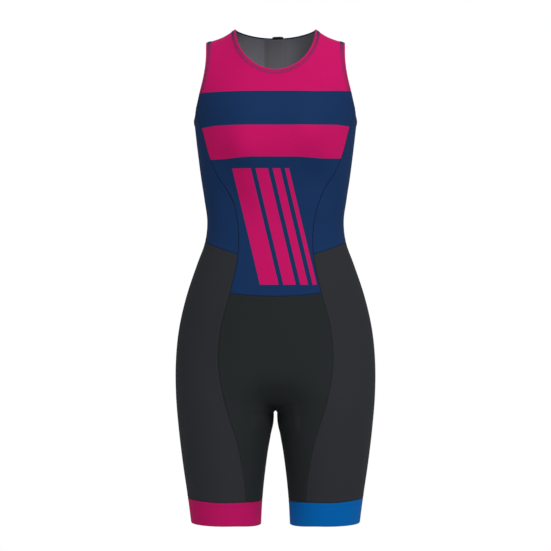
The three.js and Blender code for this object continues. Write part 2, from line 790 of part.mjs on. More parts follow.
// Slider body, and the bridge that carries the tab
const plate = new THREE.ExtrudeGeometry(
  roundedOutline(SLIDER_WIDTH, SLIDER_LENGTH, 2), { depth: SLIDER_THICK, bevelEnabled: false, curveSegments: 3 });
const bridgeShape = new THREE.Shape();
bridgeShape.moveTo(-BRIDGE_LENGTH / 2, SLIDER_THICK - 0.4);
bridgeShape.lineTo(BRIDGE_LENGTH / 2, SLIDER_THICK - 0.4);
bridgeShape.lineTo(BRIDGE_LENGTH / 2 - 0.4, SLIDER_THICK + BRIDGE_RISE * 0.7);
bridgeShape.lineTo(BRIDGE_LENGTH / 2 - 1.4, SLIDER_THICK + BRIDGE_RISE);
bridgeShape.lineTo(-BRIDGE_LENGTH / 2 + 1.4, SLIDER_THICK + BRIDGE_RISE);
bridgeShape.lineTo(-BRIDGE_LENGTH / 2 + 0.4, SLIDER_THICK + BRIDGE_RISE * 0.7);
bridgeShape.closePath();
const windowHeight = BRIDGE_RISE - BRIDGE_BAR;
const windowPath = new THREE.Path();
const windowX = BRIDGE_LENGTH / 2 - BRIDGE_BAR - 0.2;
windowPath.moveTo(-windowX, SLIDER_THICK + 0.1);
windowPath.lineTo(-windowX, SLIDER_THICK + windowHeight);
windowPath.lineTo(windowX, SLIDER_THICK + windowHeight);
windowPath.lineTo(windowX, SLIDER_THICK + 0.1);
windowPath.closePath();
bridgeShape.holes.push(windowPath);
const bridge = new THREE.ExtrudeGeometry(bridgeShape, { depth: BRIDGE_WIDTH, bevelEnabled: false });
bridge.translate(0, 0, -BRIDGE_WIDTH / 2);
bridge.applyMatrix4(new THREE.Matrix4().makeBasis(
  new THREE.Vector3(0, 1, 0), new THREE.Vector3(0, 0, 1), new THREE.Vector3(1, 0, 0)));
const metal = () => new THREE.MeshStandardMaterial({ color: '#1b1c1f', roughness: 0.45, metalness: 0.6 });
addMesh('zip_slider', fromManifold(toManifold(plate).add(toManifold(bridge))), metal(), sliderFrame);

// Pull tab, turning on its own crossbar inside the bridge
const hingeHeight = SLIDER_THICK + (windowHeight + 0.1) / 2;
const tabFrame = new THREE.Group();
tabFrame.position.set(0, 0, hingeHeight);
tabFrame.rotation.x = -THREE.MathUtils.degToRad(TAB_LEAN);
sliderFrame.add(tabFrame);
const tabShape = roundedOutline(TAB_WIDTH, TAB_LENGTH, 1.6);
const eye = roundedOutline(TAB_EYE_WIDTH, TAB_EYE_LENGTH, 0.5, THREE.Path);
const eyeCentre = -TAB_LENGTH / 2 + TAB_THICK + TAB_EYE_LENGTH / 2;
eye.curves.forEach((curve) => {
  if (curve.isLineCurve) {
    curve.v1.y += eyeCentre;
    curve.v2.y += eyeCentre;
  } else {
    curve.aY += eyeCentre;
  }
});
tabShape.holes.push(eye);
const tabBody = new THREE.ExtrudeGeometry(tabShape, { depth: TAB_THICK, bevelEnabled: false, curveSegments: 3 });
tabBody.translate(0, TAB_LENGTH / 2 - TAB_THICK / 2, -TAB_THICK / 2);
addMesh('zip_pull_tab', fromManifold(toManifold(tabBody)), metal(), tabFrame);

export default suit;
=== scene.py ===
"""Sleeveless one-piece triathlon suit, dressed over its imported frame.

Every cut-and-sewn panel is a thin shell on the worn form, with its seams, turned
hems, coverstitch, zip and elastic leg bands. Sizes in the classes are millimetres.
"""

import logging
import math
from collections.abc import Callable, Sequence
from dataclasses import dataclass, field
from enum import Enum

import bmesh
import bpy
import numpy as np
from bmesh.types import BMesh, BMFace
from bpy.types import Material, Mesh, Node, NodeOutputs, NodeSocket, NodeTree, Object
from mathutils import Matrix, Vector
from mathutils.bvhtree import BVHTree
from mathutils.kdtree import KDTree

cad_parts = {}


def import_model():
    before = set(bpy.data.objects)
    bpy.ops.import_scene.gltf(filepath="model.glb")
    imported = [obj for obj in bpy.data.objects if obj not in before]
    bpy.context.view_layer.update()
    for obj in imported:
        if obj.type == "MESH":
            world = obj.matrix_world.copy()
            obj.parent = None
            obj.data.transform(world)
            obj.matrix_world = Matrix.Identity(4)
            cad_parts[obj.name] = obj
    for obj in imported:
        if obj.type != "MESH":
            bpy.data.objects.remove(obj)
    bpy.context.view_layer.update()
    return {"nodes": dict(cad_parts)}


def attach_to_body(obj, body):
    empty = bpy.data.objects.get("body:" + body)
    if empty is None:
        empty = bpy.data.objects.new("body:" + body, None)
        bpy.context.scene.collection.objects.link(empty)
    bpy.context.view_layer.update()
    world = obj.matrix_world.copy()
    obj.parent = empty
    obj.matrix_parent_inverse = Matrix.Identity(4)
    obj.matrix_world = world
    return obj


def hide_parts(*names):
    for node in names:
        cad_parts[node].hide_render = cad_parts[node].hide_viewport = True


LOG = logging.getLogger("suit")
MM = 0.001
SUIT_BODY = "suit"
WALL = 1.6
FAR_FROM_SEAM = 60.0
MIRROR_MERGE = 1e-5
Array = np.ndarray
Sampler = Callable[[Array, Array], tuple[Array, Array]]


def smoothstep(low: float, high: float, value: Array) -> Array:
    """Eased 0 to 1 ramp of a value between two limits."""
    share = np.clip((value - low) / (high - low), 0, 1)
    return share * share * (3 - 2 * share)


def signed_power(value: Array, power: Array | float) -> Array:
    """Power of a value's size, with the value's sign."""
    return np.sign(value) * np.abs(value) ** power


def blend(low: Array, high: Array, share: Array) -> Array:
    """Straight mix of two values."""
    return low + (high - low) * share


def bell(away: Array, width: float) -> Array:
    """Bell curve of a distance, 1 at no distance and 1/e at its width."""
    return np.exp(-((away / width) ** 2))


@dataclass(frozen=True)
class Profile:
    """A short table of sizes, read with a smooth curve between its rows."""

    columns: tuple[str, ...]
    rows: tuple[tuple[float, ...], ...]

    def at(self, name: str, key: Array) -> Array:
        """Reads one column.

        Args:
            name: the column to read.
            key: positions in the first column.

        Returns:
            The column's values there.
        """
        table = np.array(self.rows, float)
        if table[0, 0] > table[-1, 0]:
            table = table[::-1]
        keys = table[:, 0]
        values = table[:, self.columns.index(name)]
        lengths = np.diff(keys)
        steps = np.diff(values) / lengths
        share = lengths[:-1] / (lengths[:-1] + lengths[1:])
        slopes = np.concatenate(
            ([steps[0]], blend(steps[:-1], steps[1:], share), [steps[-1]])
        )
        at = np.clip(key, keys[0], keys[-1])
        row = np.clip(np.searchsorted(keys, at, side="right") - 1, 0, len(keys) - 2)
        span = lengths[row]
        t = (at - keys[row]) / span
        return (
            (2 * t**3 - 3 * t**2 + 1) * values[row]
            + (t**3 - 2 * t**2 + t) * span * slopes[row]
            + (3 * t**2 - 2 * t**3) * values[row + 1]
            + (t**3 - t**2) * span * slopes[row + 1]
        )


BODY = Profile(
    ("z", "half", "front", "back", "power"),
    (
        (60, 150, -72, 84, 2.3),
        (-10, 150, -80, 90, 2.3),
        (-60, 150, -87, 95, 2.3),
        (-110, 149, -95, 99, 2.3),
        (-160, 142.5, -102, 102, 2.3),
        (-213, 136.3, -101, 99, 2.3),
        (-260, 130.2, -95.5, 91, 2.3),
        (-300, 124, -89.5, 82, 2.3),
        (-337, 119.2, -86, 76, 2.3),
        (-373, 122.9, -87.3, 76, 2.28),
        (-410, 136.2, -91, 81.5, 2.2),
        (-467, 155.6, -95.5, 97, 2.1),
        (-527, 169.6, -96.5, 115.5, 2),
        (-587, 175.3, -93.5, 124.5, 2),
        (-642, 174.7, -90, 118.5, 2),
        (-699, 169.6, -88, 101, 2),
        (-759, 162.1, -84, 87, 2),
        (-823, 152.6, -77, 74, 2),
        (-880, 145.2, -70.5, 64, 2),
    ),
)
CROTCH = Profile(
    ("z", "inner", "blend"),
    (
        (-490, -120, 0),
        (-520, -112, 2.2),
        (-550, -92, 11),
        (-580, -62, 22),
        (-610, -30, 26),
        (-640, -5, 15),
        (-655, 1, 5.6),
        (-666, 4, 4),
        (-668.5, 5.5, 3.6),
        (-678, 6, 3),
        (-690, 6.6, 2.6),
        (-705, 8.1, 2.4),
        (-737, 13.6, 3),
        (-772, 18.4, 4),
        (-803, 21.7, 4),
        (-826, 23.5, 4),
        (-880, 26, 4),
    ),
)
SEAM = Profile(
    ("z", "x"),
    (
        (-145, 138.4),
        (-176, 128.1),
        (-232, 112.3),
        (-261, 99.8),
        (-286, 84.8),
        (-313, 72.8),
        (-343, 65.7),
        (-368, 63.8),
        (-395, 64.9),
        (-460, 78),
        (-518, 93.8),
        (-590, 98),
        (-651, 86.5),
        (-718, 65.5),
        (-781, 53.8),
        (-823, 50),
    ),
)
ARMHOLE = Profile(
    ("z", "x"),
    (
        (-23.5, 121.4),
        (-60, 120.9),
        (-89, 124.7),
        (-115, 131),
        (-145, 138.4),
    ),
)
SHOULDER = Profile(
    ("x", "front", "back"),
    (
        (0, 50, 22),
        (35, 32, 19),
        (55, 14, 10),
        (70, 0, 0),
        (81, -7.6, -7.6),
        (93, -14.5, -14.5),
        (105, -19, -19),
        (121, -23.5, -23.5),
        (150, -29, -29),
    ),
)


@dataclass(frozen=True)
class SuitForm:
    """The filled-out form of the suit, front toward -Y and the wearer's left at +X."""

    seam_half: float = 0.06
    slant_allowance: float = 1.25
    armhole_corner_z: float = -145
    armhole_lowest_z: float = -161
    slant_side_z: float = -372.5
    slant_corner_z: float = -395.5
    slant_curve: float = 1.6
    waist_corner_z: float = -461.8
    waist_centre_z: float = -467
    cuff_z: float = -823
    hem_z: float = -863
    crotch_z: float = -666
    crotch_row_outer_z: float = -650
    crotch_cluster: float = 1.5
    neck_half: float = 70
    neck_front_drop: float = 79.3
    neck_back_drop: float = 9
    ridge_y: float = 8
    front_roll: float = 100
    back_roll: float = 120
    shoulder_tip_x: float = 121.4
    armhole_cluster: float = 1.5
    bust_proud: float = 14
    bust_x: float = 58
    bust_z: float = -197
    bust_spread: float = 40
    bust_above: float = 55
    bust_below: float = 34
    leg_centre_x: float = 88
    spread_top_z: float = -490
    spread_height: float = 200
    zip_slot_half: float = 4
    tilt_from_z: float = -720
    cuff_climbs: tuple[float, float, float] = (0.35, 1.7, 2.6)
    cuff_front_ramp: tuple[float, float] = (-1, -0.3)
    cuff_side_ramp: tuple[float, float] = (0.1, 1.1)
    hem_dip: float = 2.1
    hem_climb: float = 2.9
    hem_ramp: tuple[float, float] = (-1, -0.2)
    crown_drop: float = 0.35
    centre_snap: float = 1e-3
    least_roll: float = 0.02

    def cuff_tilt(self, angle: Array, z: Array) -> Array:
        """How far the cuff seam climbs toward the outer leg, fading out above it.

        Args:
            angle: angles round one side.
            z: levels.

        Returns:
            The climb at each.
        """
        out = np.sin(angle)
        inseam, front, side = self.cuff_climbs
        climb = inseam + front * smoothstep(*self.cuff_front_ramp, out)
        climb = climb + side * smoothstep(*self.cuff_side_ramp, out)
        low = np.clip((self.tilt_from_z - z) / (self.tilt_from_z - self.cuff_z), 0, 1)
        return climb * low**2

    def hem_tilt(self, angle: Array) -> Array:
        """How far the leg hem climbs from the inseam outward."""
        return self.hem_climb * smoothstep(*self.hem_ramp, np.sin(angle)) - self.hem_dip

    def section(self, z: Array) -> dict[str, Array]:
        """Sizes of the level section.

        Args:
            z: levels.

        Returns:
            The section's named sizes at each level.
        """
        front = BODY.at("front", z)
        back = BODY.at("back", z)
        half = BODY.at("half", z)
        spread = np.clip((self.spread_top_z - z) / self.spread_height, 0, 1)
        centre = self.leg_centre_x * spread**3 * (10 - 15 * spread + 6 * spread**2)
        merge = np.maximum(0, CROTCH.at("blend", z))
        return {
            "half": half,
            "centre": centre,
            "merge": merge,
            "power": BODY.at("power", z),
            "middle": (front + back) / 2,
            "depth": (back - front) / 2,
            "outer": np.hypot(half, merge) - centre,
            "inner": centre - CROTCH.at("inner", z),
        }

    def bust(self, x: Array, z: Array, half: Array) -> Array:
        """How far the bust stands proud of the plain front.

        Args:
            x: distances from the centre plane.
            z: levels.
            half: half of the body's width there.

        Returns:
            The distance at each.
        """
        spread = np.where(z > self.bust_z, self.bust_above, self.bust_below)
        up = np.exp(-(((z - self.bust_z) / spread) ** 2) / 2)
        cups = sum(
            np.exp(-(((x - side * self.bust_x) / self.bust_spread) ** 2) / 2)
            for side in (-1, 1)
        )
        return self.bust_proud * up * cups * np.maximum(0, 1 - (x / half) ** 4)

    def top_line(self, x: Array, back: Array) -> Array:
        """Height that the front or the back would roll up to at a width."""
        own = np.where(back, SHOULDER.at("back", x), SHOULDER.at("front", x))
        return np.where(x < self.neck_half, own, SHOULDER.at("front", x))

    def roll(self, x: Array, z: Array, back: Array) -> Array:
        """How far the shoulder roll has opened.

        Args:
            x: distances from the centre plane.
            z: levels.
            back: whether each is on the back.

        Returns:
            0 on the top line, 1 where the roll ends.
        """
        drop = self.top_line(np.abs(x), back) - z
        drop = drop / np.where(back, self.back_roll, self.front_roll)
        return np.sqrt(1 - (1 - np.clip(drop, 0, 1)) ** 2)

    def ridge(self, back: Array) -> Array:
        """Where the front or the back starts at the shoulder seam."""
        return self.ridge_y + np.where(back, self.seam_half, -self.seam_half)

    def point(self, angle: Array, z: Array) -> Array:
        """Points of the outer face.

        Args:
            angle: angles round one side, 0 at the centre front and pi at the back.
            z: levels.

        Returns:
            One row of x, y, z for each sample, on the wearer's left.
        """
        level = self.section(z)
        back = angle > math.pi / 2
        sine = np.sin(angle)
        reach = np.where(sine >= 0, level["outer"], level["inner"])
        shifted = level["centre"] + reach * signed_power(sine, 2 / level["power"])
        x = np.sqrt(np.maximum(0, shifted**2 - level["merge"] ** 2))
        x = np.where(x < self.centre_snap, 0, x)
        y = level["middle"] - level["depth"] * signed_power(
            np.cos(angle), 2 / level["power"]
        )
        y = np.where(back, y, y - self.bust(x, z, level["half"]))
        edge = self.ridge(back)
        return np.stack((x, edge + (y - edge) * self.roll(x, z, back), z), axis=-1)

    def field(self, at: Array) -> Array:
        """Level set of the form.

        Args:
            at: points, one to a row.

        Returns:
            1 on the outer face, more outside it and less inside.
        """
        x, y, z = at.T
        level = self.section(z)
        back = y > self.ridge_y
        edge = self.ridge(back)
        flat = edge + (y - edge) / np.maximum(self.least_roll, self.roll(x, z, back))
        flat = np.where(back, flat, flat + self.bust(x, z, level["half"]))
        across = np.hypot(x, level["merge"]) - level["centre"]
        reach = np.where(across >= 0, level["outer"], level["inner"])
        return (np.abs(across) / reach) ** level["power"] + (
            np.abs(flat - level["middle"]) / level["depth"]
        ) ** level["power"]

    def outward(self, at: Array) -> Array:
        """Outward directions of the form near some points.

        Args:
            at: points, one to a row.

        Returns:
            A unit vector for each.
        """
        step = 0.01
        slope = np.stack(
            [
                self.field(at + step * np.eye(3)[axis])
                - self.field(at - step * np.eye(3)[axis])
                for axis in range(3)
            ],
            axis=-1,
        )
        return slope / np.maximum(1e-12, np.linalg.norm(slope, axis=-1, keepdims=True))

    def cloth_normal(self, angle: Array, z: Array) -> Array:
        """Outward directions at some angles and levels, sound at the shoulder too.

        Args:
            angle: angles round one side.
            z: levels.

        Returns:
            A unit vector for each.
        """
        x = self.point(angle, z)[..., 0]
        top = self.top_line(x, angle > math.pi / 2)
        return self.outward(self.point(angle, np.minimum(z, top - self.crown_drop)))

    def angle_at(self, x: Array, z: Array, back: bool) -> Array:
        """Angle at which the form passes a distance from the centre plane.

        Args:
            x: distances from the centre plane.
            z: levels.
            back: whether it is the back's.

        Returns:
            The angle at each.
        """
        level = self.section(z)
        across = np.hypot(x, level["merge"]) - level["centre"]
        reach = np.where(across >= 0, level["outer"], level["inner"])
        sine = np.clip(signed_power(across / reach, level["power"] / 2), -1, 1)
        return math.pi - np.arcsin(sine) if back else np.arcsin(sine)

    def beside(self, angle: Array, z: Array, distance: float) -> Array:
        """The same angle moved along the cloth by a distance.

        Args:
            angle: angles round one side.
            z: levels.
            distance: how far, toward the back.

        Returns:
            The moved angles.
        """
        step = 1e-3
        span = self.point(angle + step, z) - self.point(angle - step, z)
        return angle + distance * 2 * step / np.linalg.norm(span, axis=-1)

    def seam_from_centre(self, z: Array, toward: float, back: bool) -> Array:
        """Side seam as an angle from the front or back centre.

        Args:
            z: levels.
            toward: -1 for the edge nearer the centre, 1 for the edge nearer the side.
            back: whether the angle is counted from the back.

        Returns:
            The angles.
        """
        angle = self.angle_at(SEAM.at("x", z), z, back)
        shift = toward * self.seam_half * self.slant_allowance
        if back:
            return math.pi - self.beside(angle, z, -shift)
        return self.beside(angle, z, shift)

    def inner_limit(self, z: Array, gap: float) -> Array:
        """The centre plane above the crotch and the inseam below it, as an angle."""
        limit = math.pi / 2 - gap / self.section(z)["depth"]
        return np.maximum(self.angle_at(np.zeros_like(z), z, False), -limit)

    def shoulder_tip_z(self) -> float:
        """Height of the shoulder's outer tip."""
        return float(SHOULDER.at("front", np.array(self.shoulder_tip_x)))

    def neck_edge_z(self, x: Array, back: bool) -> Array:
        """Height of the neck edge over its width.

        Args:
            x: distances from the centre plane.
            back: whether it is the back's.

        Returns:
            The height at each.
        """
        across = np.minimum(1, np.abs(x) / self.neck_half)
        if back:
            return -self.neck_back_drop * (1 - across**2)
        return -self.neck_front_drop * np.sqrt(1 - across**2)

    def side_angle(self, z: Array, share: Array) -> Array:
        """Angle across a side panel.

        Args:
            z: levels.
            share: 0 at its front seam, 1 at its back seam.

        Returns:
            The angle at each.
        """
        front = self.seam_from_centre(z, 1, False)
        back = math.pi - self.seam_from_centre(z, 1, True)
        return blend(front, back, share)

    def slant_z(self, share: Array) -> Array:
        """Height of the slanting seam between the upper and lower side panels.

        Args:
            share: 0 at the front seam, 1 at the back seam.

        Returns:
            The height at each.
        """
        return blend(
            self.slant_side_z,
            self.slant_corner_z,
            np.abs(2 * share - 1) ** self.slant_curve,
        )


FORM = SuitForm()


class EdgeKind(Enum):
    """What happens along an edge of a panel."""

    SEAM = "seam"
    HEM = "hem"
    CUFF = "cuff"
    ZIP = "zip"


@dataclass(frozen=True)
class Edge:
    """A stretch of a panel's edge, in the panel's own column and row counts."""

    kind: EdgeKind
    along_row: bool
    at: float
    start: float
    end: float

    def stations(self, count: int) -> tuple[Array, Array]:
        """Evenly spread samples along the edge.

        Args:
            count: how many.

        Returns:
            Their columns and rows.
        """
        run = np.linspace(self.start, self.end, count)
        fixed = np.full(count, float(self.at))
        return (run, fixed) if self.along_row else (fixed, run)


@dataclass(frozen=True)
class PanelPlan:
    """How one cut panel lies on the form."""

    columns: int
    rows: int
    sample: Sampler
    edges: tuple[Edge, ...]
    column_split: int
    row_split: int
    mirrored: bool = False


@dataclass(frozen=True)
class Plans:
    """Plans of all panels, each over the same columns and rows as its solid."""

    neck_front_steps: int = 7
    neck_back_steps: int = 6
    shoulder_steps: int = 4
    armhole_rows: int = 8
    chest_rows: int = 11
    waist_rows: int = 3
    side_steps: int = 10
    shorts_steps: int = 7
    seat_rows: int = 10
    leg_rows: int = 8
    band_rows: int = 2

    @property
    def top_rows(self) -> int:
        """Rows of a top panel."""
        return self.armhole_rows + self.chest_rows + self.waist_rows

    def edge_level(self, row: Array) -> Array:
        """Level down the outer edge of the top, armhole to waist corner.

        Args:
            row: rows of the top.

        Returns:
            The level of each.
        """
        corner = self.armhole_rows
        slant = corner + self.chest_rows
        armhole = blend(
            FORM.shoulder_tip_z(),
            FORM.armhole_corner_z,
            np.clip(row / corner, 0, 1) ** FORM.armhole_cluster,
        )
        chest = blend(
            FORM.armhole_corner_z,
            FORM.slant_corner_z,
            (row - corner) / self.chest_rows,
        )
        waist = blend(
            FORM.slant_corner_z,
            FORM.waist_corner_z + FORM.seam_half,
            (row - slant) / self.waist_rows,
        )
        return np.where(row <= corner, armhole, np.where(row <= slant, chest, waist))

    def outer_edge(self, z: Array, back: bool) -> Array:
        """Outer edge of a top panel as an angle from the centre.

        Args:
            z: levels.
            back: whether it is the back's.

        Returns:
            The angle at each.
        """
        armhole = FORM.angle_at(ARMHOLE.at("x", z), z, back)
        if back:
            armhole = math.pi - armhole
        seam = FORM.seam_from_centre(z, -1, back)
        return np.where(z <= FORM.armhole_corner_z, seam, armhole)

    def inner_edge(self, z: Array, back: bool) -> Array:
        """Inner edge of a top panel: the centre front, or the zip slot.

        Args:
            z: levels.
            back: whether it is the back's.

        Returns:
            The angle from the centre at each.
        """
        if not back:
            return np.zeros_like(z)
        slot = np.full_like(z, FORM.zip_slot_half)
        return math.pi - FORM.angle_at(slot, z, True)

    def top(self, back: bool) -> PanelPlan:
        """Plan of the front of the top, or of one half of its back.

        Args:
            back: whether it is the back's.

        Returns:
            The plan.
        """
        neck = self.neck_back_steps if back else self.neck_front_steps
        last = neck + self.shoulder_steps

        def sample(column: Array, row: Array) -> tuple[Array, Array]:
            """Samples the plan.

            Args:
                column: columns.
                row: rows.

            Returns:
                An angle and a level for each.
            """
            share = column / last
            high, low = self.edge_level(np.array((0.0, self.top_rows)))
            drop = (high - self.edge_level(row)) / (high - low)
            in_neck = np.clip(column / neck, 0, 1)
            if back:
                neck_x = blend(FORM.zip_slot_half, FORM.neck_half, in_neck)
            else:
                neck_x = FORM.neck_half * np.sin(in_neck * math.pi / 2)
            out = np.clip((column - neck) / self.shoulder_steps, 0, 1)
            top_x = np.where(
                column <= neck,
                neck_x,
                blend(FORM.neck_half, FORM.shoulder_tip_x, out),
            )
            top_z = np.where(
                column < neck,
                FORM.neck_edge_z(top_x, back),
                SHOULDER.at("front", top_x),
            )
            centre = np.full_like(column, FORM.waist_centre_z)
            start = self.inner_edge(centre, back) / self.outer_edge(centre, back)
            waist = FORM.seam_half + blend(
                FORM.waist_centre_z,
                FORM.waist_corner_z,
                blend(start, 1, share) ** 2,
            )
            z = blend(top_z, waist, drop)
            top_angle = FORM.angle_at(top_x, top_z, back)
            if back:
                top_angle = math.pi - top_angle
            inner = self.inner_edge(top_z, back)
            top_share = (top_angle - inner) / (self.outer_edge(top_z, back) - inner)
            angle = blend(
                self.inner_edge(z, back),
                self.outer_edge(z, back),
                blend(top_share, share, drop),
            )
            return (math.pi - angle if back else angle), z

        edges = [
            Edge(EdgeKind.HEM, True, 0, 0, neck),
            Edge(EdgeKind.SEAM, True, 0, neck, last),
            Edge(EdgeKind.HEM, False, last, 0, self.armhole_rows),
            Edge(EdgeKind.SEAM, False, last, self.armhole_rows, self.top_rows),
            Edge(EdgeKind.SEAM, True, self.top_rows, 0, last),
        ]
        if back:
            edges.append(Edge(EdgeKind.ZIP, False, 0, 0, self.top_rows))
        return PanelPlan(
            last,
            self.top_rows,
            sample,
            tuple(edges),
            column_split=4,
            row_split=7,
            mirrored=not back,
        )

    def side_top(self) -> PanelPlan:
        """Plan of an upper side panel, under the armhole.

        Returns:
            The plan.
        """

        def sample(column: Array, row: Array) -> tuple[Array, Array]:
            """Samples the plan.

            Args:
                column: columns.
                row: rows.

            Returns:
                An angle and a level for each.
            """
            share = column / self.side_steps
            top = blend(
                FORM.armhole_lowest_z, FORM.armhole_corner_z, (2 * share - 1) ** 2
            )
            low = FORM.slant_z(share) + FORM.seam_half
            z = blend(top, low, row / self.chest_rows)
            return FORM.side_angle(z, share), z

        last, rows = self.side_steps, self.chest_rows
        edges = (
            Edge(EdgeKind.HEM, True, 0, 0, last),
            Edge(EdgeKind.SEAM, False, 0, 0, rows),
            Edge(EdgeKind.SEAM, False, last, 0, rows),
            Edge(EdgeKind.SEAM, True, rows, 0, last),
        )
        return PanelPlan(last, rows, sample, edges, column_split=5, row_split=6)

    def shorts_levels(self, row: Array) -> tuple[Array, Array]:
        """Levels of a shorts row at the centre or inseam, and at the side seam.

        Args:
            row: rows of the shorts.

        Returns:
            The inner and the outer level of each.
        """
        seat = np.clip(row / self.seat_rows, 0, 1)
        leg = np.clip((row - self.seat_rows) / self.leg_rows, 0, 1)
        upper = row <= self.seat_rows
        cuff = FORM.cuff_z + FORM.seam_half
        crotch = FORM.crotch_z
        inner = np.where(
            upper,
            blend(
                crotch,
                FORM.waist_centre_z - FORM.seam_half,
                (1 - seat) ** FORM.crotch_cluster,
            ),
            blend(crotch, cuff, leg),
        )
        outer = np.where(
            upper,
            blend(FORM.waist_corner_z - FORM.seam_half, FORM.crotch_row_outer_z, seat),
            blend(FORM.crotch_row_outer_z, cuff, leg),
        )
        return inner, outer

    def side_leg(self) -> PanelPlan:
        """Plan of a side and outer leg panel.

        Returns:
            The plan.
        """
        rows = self.waist_rows + self.seat_rows + self.leg_rows
        slant_row = self.armhole_rows + self.chest_rows

        def level(row: Array) -> Array:
            """Level down the panel's front and back seams.

            Args:
                row: rows of the panel.

            Returns:
                The level of each.
            """
            upper = self.edge_level(slant_row + np.minimum(row, self.waist_rows))
            lower = self.shorts_levels(np.maximum(0, row - self.waist_rows))[1]
            return np.where(row <= self.waist_rows, upper, lower)

        def sample(column: Array, row: Array) -> tuple[Array, Array]:
            """Samples the plan.

            Args:
                column: columns.
                row: rows.

            Returns:
                An angle and a level for each.
            """
            share = column / self.side_steps
            high, low = level(np.array((0.0, rows)))
            drop = (high - level(row)) / (high - low)
            z = blend(FORM.slant_z(share) - FORM.seam_half, low, drop)
            z = z + FORM.cuff_tilt(FORM.side_angle(z, share), z)
            return FORM.side_angle(z, share), z

        last = self.side_steps
        edges = (
            Edge(EdgeKind.SEAM, True, 0, 0, last),
            Edge(EdgeKind.SEAM, False, 0, 0, rows),
            Edge(EdgeKind.SEAM, False, last, 0, rows),
            Edge(EdgeKind.SEAM, True, rows, 0, last),
        )
        return PanelPlan(last, rows, sample, edges, column_split=7, row_split=6)

    def shorts_sample(self, back: bool, gap: float) -> Sampler:
        """Sampler of the front or back of the shorts, one leg.

        Args:
            back: whether it is the back's.
            gap: room left at the inseam.

        Returns:
            The sampler.
        """

        def sample(column: Array, row: Array) -> tuple[Array, Array]:
            """Samples the plan.

            Args:
                column: columns.
                row: rows.

            Returns:
                An angle and a level for each.
            """
            share = column / self.shorts_steps
            bend = blend(2, 1, np.clip(row / self.seat_rows, 0, 1))
            inner, outer = self.shorts_levels(row)
            z = blend(inner, outer, share**bend)
            for climb in (True, False):
                limit = FORM.inner_limit(z, gap)
                angle = blend(limit, FORM.seam_from_centre(z, -1, back), share)
                if climb:
                    z = z + FORM.cuff_tilt(angle, z)
            return (math.pi - angle if back else angle), z

        return sample

    def shorts(self, back: bool) -> PanelPlan:
        """Plan of the front or back of the shorts, over both legs.

        Args:
            back: whether it is the back's.

        Returns:
            The plan.
        """
        rows = self.seat_rows + self.leg_rows
        last = self.shorts_steps
        edges = (
            Edge(EdgeKind.SEAM, True, 0, 0, last),
            Edge(EdgeKind.SEAM, False, last, 0, rows),
            Edge(EdgeKind.SEAM, True, rows, 0, last),
            Edge(EdgeKind.SEAM, False, 0, self.seat_rows, rows),
        )
        sample = self.shorts_sample(back, FORM.seam_half)
        return PanelPlan(
            last, rows, sample, edges, column_split=5, row_split=6, mirrored=True
        )

    def band(self) -> PanelPlan:
        """Plan of an elastic leg band, all round from inseam to inseam.

        Returns:
            The plan.
        """
        last = 2 * self.shorts_steps + self.side_steps

        def sample(column: Array, row: Array) -> tuple[Array, Array]:
            """Samples the plan.

            Args:
                column: columns.
                row: rows.

            Returns:
                An angle and a level for each.
            """
            cuff = np.array(FORM.cuff_z)
            front = float(FORM.seam_from_centre(cuff, 0, False))
            back = float(math.pi - FORM.seam_from_centre(cuff, 0, True))
            knots = (0, self.shorts_steps, last - self.shorts_steps, last)
            angle = np.interp(
                column, knots, (-math.pi / 2, front, back, 1.5 * math.pi)
            )
            top = FORM.cuff_z + FORM.cuff_tilt(angle, cuff) - FORM.seam_half
            low = FORM.hem_z + FORM.hem_tilt(angle)
            return angle, blend(top, low, row / self.band_rows)

        edges = (
            Edge(EdgeKind.SEAM, True, 0, 0, last),
            Edge(EdgeKind.CUFF, True, self.band_rows, 0, last),
        )
        rows = self.band_rows
        return PanelPlan(last, rows, sample, edges, column_split=5, row_split=8)


PLANS = Plans()


@dataclass(frozen=True)
class Crease:
    """A soft hollow or fullness on the front of the cloth, from one x, z to another."""

    start: tuple[float, float]
    end: tuple[float, float]
    width: float
    height: float
    side_fade: float = 0.4

    def rise(self, at: Array) -> Array:
        """How far it lifts the cloth.

        Args:
            at: points, one to a row.

        Returns:
            The lift of each.
        """
        flat = np.stack((at[:, 0], at[:, 2]), axis=-1)
        start, run = np.array(self.start), np.subtract(self.end, self.start)
        share = np.clip((flat - start) @ run / (run @ run), 0, 1)
        away = np.linalg.norm(flat - start - share[:, None] * run, axis=-1)
        shape = bell(away, self.width) * np.sin(math.pi * share) ** 2
        level = FORM.section(at[:, 2])
        side = (at[:, 1] - level["middle"]) / level["depth"]
        return self.height * shape * smoothstep(0.0, self.side_fade, -side)


BUST_SHAPE = (
    Crease((-96, -222), (-16, -218), 30, 5),
    Crease((20, -184), (100, -188), 27, 4.5),
    Crease((-112, -302), (-24, -308), 32, -6.2),
    Crease((30, -272), (116, -266), 32, -5.8),
    Crease((-88, -372), (-62, -312), 9, 1.0),
    Crease((64, -300), (88, -352), 9, 0.8),
)
FRONT_FULLNESS = (
    Crease((0, -556), (0, -671), 25, 7.5),
    Crease((-9, -650), (-42, -700), 5, 0.7),
    Crease((9, -650), (42, -700), 5, 0.5),
)


